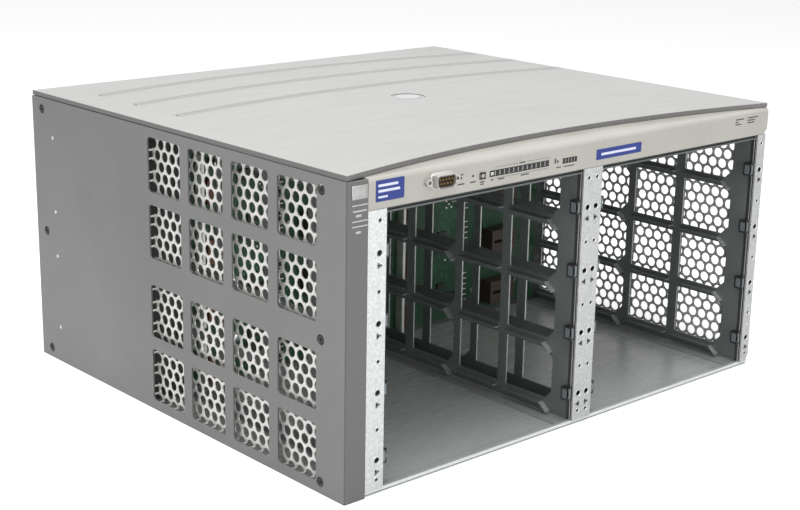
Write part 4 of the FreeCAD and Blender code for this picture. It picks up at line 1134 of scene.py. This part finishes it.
class CHASSIS_OT_lamps(bpy.types.Operator):
    """Fit the lamp and selector cells, the first lamp and the mode button's rim"""
    bl_idname = "chassis.lamps"
    bl_label = "Lamps"

    def execute(self, context):
        left, foot, long, tall = lamp_places()
        box_side, lamps, picks = 5.0 * MM, 12, 5
        first_lamp(left, foot, box_side, tall)
        step = (long - box_side) / lamps
        cells = [(left + box_side + index * step, foot, step, tall, 0.9 * MM)
                 for index in range(lamps)]
        low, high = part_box("selector_window")
        step = (high.x - low.x) / picks
        cells += [(low.x + index * step, low.z, step, high.z - low.z, 0.7 * MM)
                  for index in range(picks)]
        lamp_cells(cells)
        mode_ring()
        return {"FINISHED"}


# ---- serial port --------------------------------------------------------------------------

def port_outline(name, wide, tall, radius, depth):
    """A D-shaped plate, wider at the top, that faces the front and sits on the front plane."""
    lean = 1.0 * MM
    squeeze = (wide - 2 * lean) / wide
    plate = block(name, (-wide / 2, -depth, -tall / 2), (wide / 2, 0, tall / 2))
    with editing(plate):
        choose(plate, lambda corner: corner.co.z < 0, "VERT")
        bpy.ops.transform.resize(value=(squeeze, 1.0, 1.0))
        choose(plate, lambda edge: abs(edge.verts[0].co.y - edge.verts[1].co.y) > depth / 2,
               "EDGE")
        bpy.ops.mesh.bevel(offset=radius, segments=5, affect="EDGES")
    return plate


def port_shell(middle, wide, tall, reach):
    """The formed shell with its rolled rim, open to the front."""
    set_back = 0.3 * MM
    shell = port_outline("port_shell", wide, tall, 2.6 * MM, reach)
    with editing(shell):
        choose(shell, lambda face: face.normal.y > 0.99)
        push(0, 1.4 * MM, 0)
        choose(shell, lambda face: face.normal.y < -0.99)
        for inset, depth in ((0.3, 0.3), (0.35, 0.0), (0.1, -0.4)):
            bpy.ops.mesh.inset(thickness=inset * MM, depth=depth * MM)
        push(0, reach - 2 * set_back, 0)
    move(shell, middle + Vector((0, set_back, 0)))
    settle(shell, bpy.data.materials["nickel_plate"], smooth=40)


def port_collar(middle, wide, tall):
    """The flange that lies on the bezel round the shell."""
    collar = port_outline("port_collar", wide, tall, 3.4 * MM, 0.5 * MM)
    with editing(collar):
        choose(collar, lambda face: face.normal.y < -0.99)
        bpy.ops.mesh.inset(thickness=0.6 * MM, depth=0.4 * MM)
    move(collar, middle)
    settle(collar, bpy.data.materials["nickel_plate"], smooth=40)


def port_core(middle, wide, tall, depth):
    """The dark moulding that fills the shell."""
    core = port_outline("port_core", wide, tall, 2.0 * MM, depth)
    with editing(core):
        choose(core, lambda face: face.normal.y < -0.99)
        bpy.ops.mesh.inset(thickness=0.4 * MM, depth=-0.2 * MM)
    move(core, middle)
    settle(core, bpy.data.materials["port_insert"], smooth=40)


def port_pins(middle):
    """Nine pin tips, five over four."""
    pitch, row = 2.77 * MM, 1.42 * MM
    pin = drum(0.5 * MM, 0.8 * MM, 10, middle, (math.pi / 2, 0, 0))
    with editing(pin):
        choose(pin, lambda face: face.normal.y < -0.99)
        bpy.ops.mesh.inset(thickness=0.2 * MM, depth=0.15 * MM)
    spots = [Vector(((column - (count - 1) / 2) * pitch, 0, side * row))
             for side, count in ((1, 5), (-1, 4)) for column in range(count)]
    move(pin, spots[0])
    pins = copies(pin, [spot - spots[0] for spot in spots[1:]])
    pins.name = "port_pins"
    settle(pins, bpy.data.materials["gold_plate"], smooth=40)


class CHASSIS_OT_port_shell(bpy.types.Operator):
    """Form the port's D-shaped shell, its flange, the moulding in it and the pin tips"""
    bl_idname = "chassis.port_shell"
    bl_label = "Port shell"

    def execute(self, context):
        low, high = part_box("serial_port_insert")
        middle = Vector(((low.x + high.x) / 2, FRONT, (low.z + high.z) / 2))
        wide, tall = high.x - low.x + 1.6 * MM, high.z - low.z + 1.6 * MM
        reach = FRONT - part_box("serial_port_shell")[0].y
        port_shell(middle, wide, tall, reach)
        port_collar(middle, wide + 3.4 * MM, tall + 2.6 * MM)
        port_core(middle, wide - 1.7 * MM, tall - 1.7 * MM, reach - 1.3 * MM)
        port_pins(middle - Vector((0, reach - 1.2 * MM, 0)))
        return {"FINISHED"}


# ---- sheet edges --------------------------------------------------------------------------

class CHASSIS_OT_fold_edges(bpy.types.Operator):
    """Lay bright bars beside the strips, cut edges with a painted highlight, and a thin dark
    line low on the front hem
    """
    bl_idname = "chassis.fold_edges"
    bl_label = "Fold edges"

    def execute(self, context):
        made = []
        # Two bright bars on each strip's left return: bare cut edges, with a painted highlight.
        for strip in ("centre", "right"):
            low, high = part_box(strip + "_front_strip")
            for start, wide in ((0.5 * MM, 0.5 * MM), (2.3 * MM, 0.7 * MM)):
                made.append(soft_block("edge", (low.x - 0.06 * MM, low.y + start, low.z),
                                       (low.x + 0.02 * MM, low.y + start + wide, high.z),
                                       0.02 * MM, 1))
        settle(merge(made, "fold_edges"), bpy.data.materials["rivet_metal"])
        # A thin dark line low on the tray's front hem.
        low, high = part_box("base_tray")
        end = 1.5 * MM
        hem_line = soft_block("hem_dark_line", (low.x + end, low.y - 0.05 * MM, 0.9 * MM),
                          (high.x - end, low.y + 0.1 * MM, 1.5 * MM), 0.03 * MM, 1)
        settle(hem_line, bpy.data.materials["screw_black"])
        return {"FINISHED"}


# ---- card catches -------------------------------------------------------------------------

class CHASSIS_OT_catch_windows(bpy.types.Operator):
    """Set the grey tongue that shows in the dark frame of each card catch"""
    bl_idname = "chassis.catch_windows"
    bl_label = "Catch windows"

    def execute(self, context):
        tongue = moulded_plastic("catch_grey", (0.16, 0.19, 0.20), 0.35)
        border, gauge, proud = 1.2 * MM, 0.3 * MM, 0.02 * MM
        for wall in ("left_card", "divider_left", "divider_right", "right_card"):
            made = []
            for low, high in node_islands(wall + "_catches"):
                for start, end in (
                        ((low.x - proud, low.y + border, low.z + border),
                         (low.x + gauge, high.y - border, high.z - border)),
                        ((low.x + border, low.y - proud, low.z + border),
                         (high.x - border, low.y + gauge, high.z - border))):
                    made.append(soft_block("tongue", start, end, 0.1 * MM, 1))
            settle(merge(made, wall + "_catch_tongues"), tongue, smooth=30)
        return {"FINISHED"}


# ---- front strips -------------------------------------------------------------------------

# Least and most width of each kind of opening in a strip.
SCREW_HOLES = (3.8 * MM, 4.6 * MM)
DOTS = (1.9 * MM, 2.6 * MM)
TRIANGLES = (2.8 * MM, 3.6 * MM)


def burr(place, radius):
    """A raised ring of zinc round one hole."""
    put_down()
    bpy.ops.mesh.primitive_circle_add(vertices=20, radius=radius, location=place,
                                      rotation=(math.pi / 2, 0, 0))
    rim = bpy.context.object
    with editing(rim):
        for grow, rise in ((0.45 * MM, -0.3 * MM), (0.2 * MM, 0.28 * MM)):
            bpy.ops.mesh.select_mode(type="EDGE")
            bpy.ops.mesh.extrude_edges_move(TRANSFORM_OT_translate={"value": (0, rise, 0)})
            wider = (radius + grow) / radius
            bpy.ops.transform.resize(value=(wider, 1.0, wider), center_override=place)
            radius += grow
    bpy.ops.object.transform_apply(location=True, rotation=True, scale=True)
    use_modifier(rim, "SOLIDIFY", thickness=0.04 * MM, offset=0.0)
    return rim


def dark_ring(place, corners, radius, border, turn=0.0):
    """A thin dark ring of a few corners, painted shade on a front strip round a punched mark.
    """
    put_down()
    bpy.ops.mesh.primitive_circle_add(
        vertices=corners, radius=radius, fill_type="NGON",
        location=place - Vector((0, 0.04 * MM, 0)), rotation=(math.pi / 2, turn, 0))
    ring = bpy.context.object
    with editing(ring):
        bpy.ops.mesh.inset(thickness=border, depth=0.0)
        bpy.ops.mesh.delete(type="FACE")
        bpy.ops.mesh.select_all(action="SELECT")
        push(0, 0.05 * MM, 0)
    face_out(ring)
    return ring


def painted_shade_rings(node):
    """Dark rings of painted shade that widen the dark of the dots and triangles."""
    low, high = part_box(node)
    middle = (low.x + high.x) / 2
    made = [dark_ring(place, 14, 1.6 * MM, 0.55 * MM)
            for place in punched_places(node, *DOTS)]
    return made + [dark_ring(place, 3, 2.7 * MM, 0.45 * MM,
                             math.radians(-90 if place.x < middle else 90))
                   for place in punched_places(node, *TRIANGLES)]


class CHASSIS_OT_punched_rims(bpy.types.Operator):
    """Raise a bright burr round the strips' holes and dots, and ring the punched marks with
    painted shade
    """
    bl_idname = "chassis.punched_rims"
    bl_label = "Punched rims"

    def execute(self, context):
        bright = spangled_zinc("burr_zinc", (0.72, 0.73, 0.72), 900.0, 0.7)
        marks = []
        for strip in ("left", "centre", "right"):
            node = strip + "_front_strip"
            made = []
            for sizes, radius in ((SCREW_HOLES, 2.12 * MM), (DOTS, 1.22 * MM)):
                places = punched_places(node, *sizes)
                made.append(copies(burr(places[0], radius),
                                   [place - places[0] for place in places[1:]]))
            rims = merge(made, strip + "_punched_rims")
            face_out(rims)
            settle(rims, bright, smooth=60)
            # Painted shade: dark rings that widen the dark of the dots and triangles.
            marks += painted_shade_rings(node)
        settle(merge(marks, "painted_shade_rings"),
               moulded_plastic("painted_shade_black", (0.012, 0.012, 0.012), 0.7))
        return {"FINISHED"}


# ---- fasteners ----------------------------------------------------------------------------

def cross_head(radius, deep):
    """One flat screw head with a cross recess; its face looks along +Z."""
    head = drum(radius, deep, 24, (0, 0, -deep / 2))
    with editing(head):
        choose(head, lambda face: face.normal.z > 0.99)
        bpy.ops.mesh.inset(thickness=radius * 0.14, depth=radius * 0.06)
    arms = [block("arm", (-wide * radius, -tall * radius, -deep * 0.6),
                  (wide * radius, tall * radius, deep))
            for wide, tall in ((0.55, 0.13), (0.13, 0.55))]
    use_modifier(arms[0], "BOOLEAN", operation="UNION", object=arms[1], solver="EXACT")
    use_modifier(head, "BOOLEAN", operation="DIFFERENCE", object=arms[0], solver="EXACT")
    for arm in arms:
        bpy.data.objects.remove(arm)
    return head


def drive_in(head, name, places, turn, material):
    """Turns a fastener's head, sets one at each place, and seats them as one piece."""
    move(head, places[0], turn)
    heads = copies(head, [place - places[0] for place in places[1:]])
    heads.name = name
    return settle(heads, material, smooth=30)


class CHASSIS_OT_cover_screws(bpy.types.Operator):
    """Drive the dark cross-head screws into both side covers"""
    bl_idname = "chassis.cover_screws"
    bl_label = "Cover screws"

    def execute(self, context):
        sunk = 0.2 * MM
        for side, turn in (("left", -1), ("right", 1)):
            node = side + "_cover_screws"
            low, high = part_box(node)
            face = (low.x if turn < 0 else high.x) - turn * sunk
            places = [Vector((face, middle.y, middle.z)) for middle in solids_of(node)]
            heads = drive_in(cross_head(2.68 * MM, 0.9 * MM), side + "_screw_heads", places,
                             (0, turn * math.pi / 2, 0), bpy.data.materials["screw_black"])
            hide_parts(node)
        return {"FINISHED"}


# ---- board parts --------------------------------------------------------------------------

def board_block(low, high, width):
    """A softened block on the backplane, in millimetres from a slot's lower left corner."""
    face = Vector((0, BOARD_LOW.y, 0))
    return soft_block("board_block", face + Vector(low) * MM, face + Vector(high) * MM,
                      width * MM, 1)


def chip_with_legs():
    """The large chip and its two rows of legs."""
    case = board_block((52, -2.6, 18), (82, 0, 27), 0.3)
    legs, tall = 6, 9.0
    pitch = tall / (legs + 1)
    leg = board_block((51, -1.3, 18 + 0.7 * pitch), (83, 0, 18 + 1.1 * pitch), 0.1)
    return case, copies(leg, [(0.0, 0.0, pitch * index * MM) for index in range(1, legs)])


def solder_dot(across, up):
    """Half a ball of solder on the board."""
    put_down()
    bpy.ops.mesh.primitive_uv_sphere_add(segments=12, ring_count=6, radius=1.1 * MM,
                                         location=(across * MM, BOARD_LOW.y, up * MM))
    dot = bpy.context.object
    with editing(dot):
        bpy.ops.mesh.bisect(plane_co=(0, BOARD_LOW.y, 0), plane_no=(0, 1, 0),
                            clear_outer=True)
    return dot


def capacitor(across, up):
    """A round can that stands out of the board."""
    can = drum(3.2 * MM, 8 * MM, 20, (across * MM, BOARD_LOW.y - 4 * MM, up * MM),
               (math.pi / 2, 0, 0))
    with editing(can):
        choose(can, lambda face: face.normal.y < -0.99)
        bpy.ops.mesh.inset(thickness=0.5 * MM, depth=0.25 * MM)
    return can


def slot_parts():
    """The parts of one slot of the backplane, each with its finish and a slot name, which is
    not used.
    """
    case, legs = chip_with_legs()
    small_case = board_block((60, -1.8, 31), (70, 0, 37), 0.3)
    dots = [solder_dot(across, up)
            for up, across in ((10, 70), (13, 73), (10, 76), (16, 70), (16, 76))]
    strip = board_block((90, -3.5, 4), (93, 0, 44), 0.4)
    tick = board_block((89.5, -3.9, 7), (93.5, -3.0, 8), 0.2)
    ticks = copies(tick, [(0.0, 0.0, 5 * MM * index) for index in range(1, 8)])
    post = board_block((12, -9, 3), (15, 0, 45), 0.4)
    cans = [capacitor(across, 36) for across in (28, 36, 44)]
    column = board_block((20, -5, 4), (26, 0, 24), 0.4)
    return {
        "backplane_chips": ([case, small_case],
                            moulded_plastic("chip_black", (0.02, 0.02, 0.021), 0.35),
                            "black_plastic"),
        "chip_legs": ([legs], turned_metal("leg_tin", (0.7, 0.7, 0.7), 0.3), "nickel"),
        "guide_posts": ([ticks, post],
                        turned_metal("post_metal", (0.75, 0.76, 0.75), 0.35, 0.5), "nickel"),
        "solder_points": (dots, turned_metal("solder", (0.85, 0.86, 0.85), 0.25, 0.5),
                          "nickel"),
        "dark_headers": ([strip], moulded_plastic("header_black", (0.02, 0.02, 0.02), 0.4),
                         "black_plastic"),
        "round_capacitors": (cans, turned_metal("can_alloy", (0.55, 0.56, 0.58), 0.3),
                             "alloy"),
        "brown_headers": ([column], moulded_plastic("header_brown", (0.12, 0.045, 0.02)),
                          "black_plastic"),
    }


class CHASSIS_OT_board_parts(bpy.types.Operator):
    """Populate each slot of the backplane: chips, capacitors, guide posts, solder points"""
    bl_idname = "chassis.board_parts"
    bl_label = "Board parts"

    def execute(self, context):
        slots, pitch, foot = 4, 47.5 * MM, 3.5 * MM
        bays = (BOARD_LOW.x - 1 * MM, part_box("divider_right_wall")[0].x + 1.2 * MM)
        corners = [Vector((bay, 0.0, foot + slot * pitch))
                   for bay in bays for slot in range(slots)]
        for name, (parts, material, slot) in slot_parts().items():
            unit = merge(parts, name)
            bpy.ops.object.transform_apply(location=True, rotation=True, scale=True)
            move(unit, corners[0])
            unit = copies(unit, [corner - corners[0] for corner in corners[1:]])
            settle(unit, material, smooth=30)
        return {"FINISHED"}


# ---- rear details -------------------------------------------------------------------------

def fan_screw_places(inset, proud):
    """Four places round each fan grille, just out of the rear panel."""
    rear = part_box("rear_panel")[1].y + proud
    places = []
    for frame_node in numbered("fan_frame", 3):
        low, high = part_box(frame_node)
        places += [Vector((across, rear, up))
                   for across in (low.x + inset, high.x - inset)
                   for up in (low.z + inset, high.z - inset)]
    return places


def knurled_knob(radius, depth):
    """A thumb screw's knob along Y, with a grooved edge and a hollow face."""
    knob = drum(radius, depth, 36, turn=(math.pi / 2, 0, 0))
    with editing(knob):
        choose(knob, lambda face: abs(face.normal.y) < 0.1)
        bpy.ops.mesh.inset(thickness=0.25 * MM, depth=-0.25 * MM, use_individual=True)
        choose(knob, lambda face: face.normal.y > 0.99)
        bpy.ops.mesh.inset(thickness=1.2 * MM, depth=-0.4 * MM)
    return knob


class CHASSIS_OT_rear_screws(bpy.types.Operator):
    """Put four fan screws round each grille and knurl the thumb screws"""
    bl_idname = "chassis.rear_screws"
    bl_label = "Rear screws"

    def execute(self, context):
        steel = bpy.data.materials["screw_steel"]
        deep = 0.8 * MM
        drive_in(cross_head(3.0 * MM, deep), "fan_screws", fan_screw_places(5.0 * MM, deep),
                 (-math.pi / 2, 0, 0), steel)
        node = "supply_thumb_screws"
        low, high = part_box(node)
        knobs = drive_in(knurled_knob(4.3 * MM, high.y - low.y), "knurled_screws",
                         solids_of(node), (0, 0, 0), steel)
        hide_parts(node)
        return {"FINISHED"}


# ---- stage --------------------------------------------------------------------------------

def set_camera(scene, studio):
    """The camera looks along minus back; side and up are its own axes, with the roll."""
    turn, rise = studio.azimuth, studio.elevation
    back = Vector((math.sin(turn) * math.cos(rise), -math.cos(turn) * math.cos(rise),
                   math.sin(rise)))
    level = Vector((math.cos(turn), math.sin(turn), 0.0))
    plumb = back.cross(level)
    cosine, sine = math.cos(studio.roll), math.sin(studio.roll)
    side = cosine * level + sine * plumb
    up = cosine * plumb - sine * level
    bpy.ops.object.camera_add()
    camera = bpy.context.object
    camera.name = "studio_camera"
    camera.matrix_world = Matrix.Translation(
        (studio.camera_x, studio.camera_y, studio.camera_z)
    ) @ Matrix((side, up, back)).transposed().to_4x4()
    camera.data.lens = studio.lens
    camera.data.sensor_width = 36.0
    camera.data.clip_start = 0.01
    scene.camera = camera


def lamp(name, place, target, size, power):
    """A square-cornered area lamp that looks at a target."""
    bpy.ops.object.light_add(type="AREA", location=place)
    light = bpy.context.object
    light.name = name
    aim = Vector(target) - Vector(place)
    light.rotation_euler = aim.to_track_quat("-Z", "Y").to_euler()
    light.data.shape = "RECTANGLE"
    light.data.size, light.data.size_y = size
    light.data.energy = power


def set_lamps(studio):
    """Key light over the lid, fill light before the bays, and light on the left side."""
    lamp("key_lamp", (-0.4, -0.15, 1.6), (-0.1, 0.0, 0.15), (1.5, 1.2), studio.key_power)
    lamp("fill_lamp", (0.1, -1.5, 0.35), (0.0, 0.0, 0.1), (1.0, 0.6), studio.fill_power)
    lamp("side_lamp", (-1.6, -0.2, 0.35), (-0.22, 0.0, 0.05), (1.2, 0.6), studio.side_power)


def set_sky(scene, studio):
    """Even light for surfaces; the camera and reflections see plain white."""
    sky = bpy.data.worlds.new("studio_sky")
    scene.world = sky
    sky.use_nodes = True
    tree = sky.node_tree
    surface = tree.nodes["Background"]
    surface.inputs["Color"].default_value = (1.0, 1.0, 1.0, 1.0)
    rays = tree.nodes.new("ShaderNodeLightPath")
    seen = None
    for ray in ("Is Camera Ray", "Is Glossy Ray", "Is Transmission Ray"):
        if seen is None:
            seen = rays.outputs[ray]
            continue
        either = tree.nodes.new("ShaderNodeMath")
        either.operation = "MAXIMUM"
        tree.links.new(seen, either.inputs[0])
        tree.links.new(rays.outputs[ray], either.inputs[1])
        seen = either.outputs[0]
    level = tree.nodes.new("ShaderNodeMapRange")
    level.inputs["To Min"].default_value = studio.sky
    level.inputs["To Max"].default_value = 1.0
    tree.links.new(seen, level.inputs["Value"])
    tree.links.new(level.outputs["Result"], surface.inputs["Strength"])


def set_floor():
    """A pale floor that shows white to the camera and keeps the soft shadow."""
    bpy.ops.object.select_all(action="DESELECT")
    bpy.ops.mesh.primitive_plane_add(size=12.0)
    floor = bpy.context.object
    floor.name = "studio_floor"
    cover = Finish("floor_paper")
    grain = cover.noise(40.0, 2.0)
    cover.feed(Base_Color=cover.shades(grain, (0.3, (0.78, 0.78, 0.78)),
                                       (0.7, (0.8, 0.8, 0.8))))
    cover.set(Roughness=0.9)
    rays = cover.add("LightPath")
    lift = cover.range(rays.outputs["Is Camera Ray"], 0.0, 0.46)
    cover.set(Emission_Color=(1.0, 1.0, 1.0, 1.0))
    cover.feed(Emission_Strength=lift)
    floor.data.materials.append(cover.material)


class CHASSIS_OT_stage(bpy.types.Operator):
    """Set the camera, the lamps, the sky and the floor"""
    bl_idname = "chassis.stage"
    bl_label = "Stage"

    def execute(self, context):
        studio = context.scene.studio
        set_camera(context.scene, studio)
        set_lamps(studio)
        set_sky(context.scene, studio)
        set_floor()
        context.scene.view_settings.view_transform = "Standard"
        return {"FINISHED"}


# ---- the add-on ---------------------------------------------------------------------------

OPERATORS = (
    CHASSIS_OT_case_finish, CHASSIS_OT_fitting_finish, CHASSIS_OT_side_covers,
    CHASSIS_OT_vent_screens, CHASSIS_OT_lid_badge, CHASSIS_OT_column_badge,
    CHASSIS_OT_blue_labels, CHASSIS_OT_bezel_print, CHASSIS_OT_lamps,
    CHASSIS_OT_port_shell, CHASSIS_OT_fold_edges, CHASSIS_OT_catch_windows,
    CHASSIS_OT_punched_rims, CHASSIS_OT_cover_screws, CHASSIS_OT_board_parts,
    CHASSIS_OT_rear_screws, CHASSIS_OT_stage,
)
SETTINGS = {"finish_colours": FinishColours, "screen_pattern": ScreenPattern,
            "sheet_edges": SheetEdges, "blank_places": BlankPlaces, "studio": Studio}


class CHASSIS_PT_panel(bpy.types.Panel):
    """Steps that dress the chassis"""
    bl_idname = "CHASSIS_PT_panel"
    bl_label = "Chassis Switch"
    bl_space_type = "VIEW_3D"
    bl_region_type = "UI"
    bl_category = "Chassis"

    def draw(self, context):
        for step in OPERATORS:
            self.layout.operator(step.bl_idname)
        for name, group in SETTINGS.items():
            for setting in group.__annotations__:
                self.layout.prop(getattr(context.scene, name), setting)


CLASSES = (*SETTINGS.values(), *OPERATORS, CHASSIS_PT_panel)


def register():
    for part in CLASSES:
        bpy.utils.register_class(part)
    for name, group in SETTINGS.items():
        setattr(bpy.types.Scene, name, PointerProperty(type=group))


def unregister():
    for name in SETTINGS:
        delattr(bpy.types.Scene, name)
    for part in reversed(CLASSES):
        bpy.utils.unregister_class(part)


def main():
    register()
    for step in OPERATORS:
        name = step.bl_idname.split(".")[1]
        getattr(bpy.ops.chassis, name)()


if __name__ == "__main__":
    main()
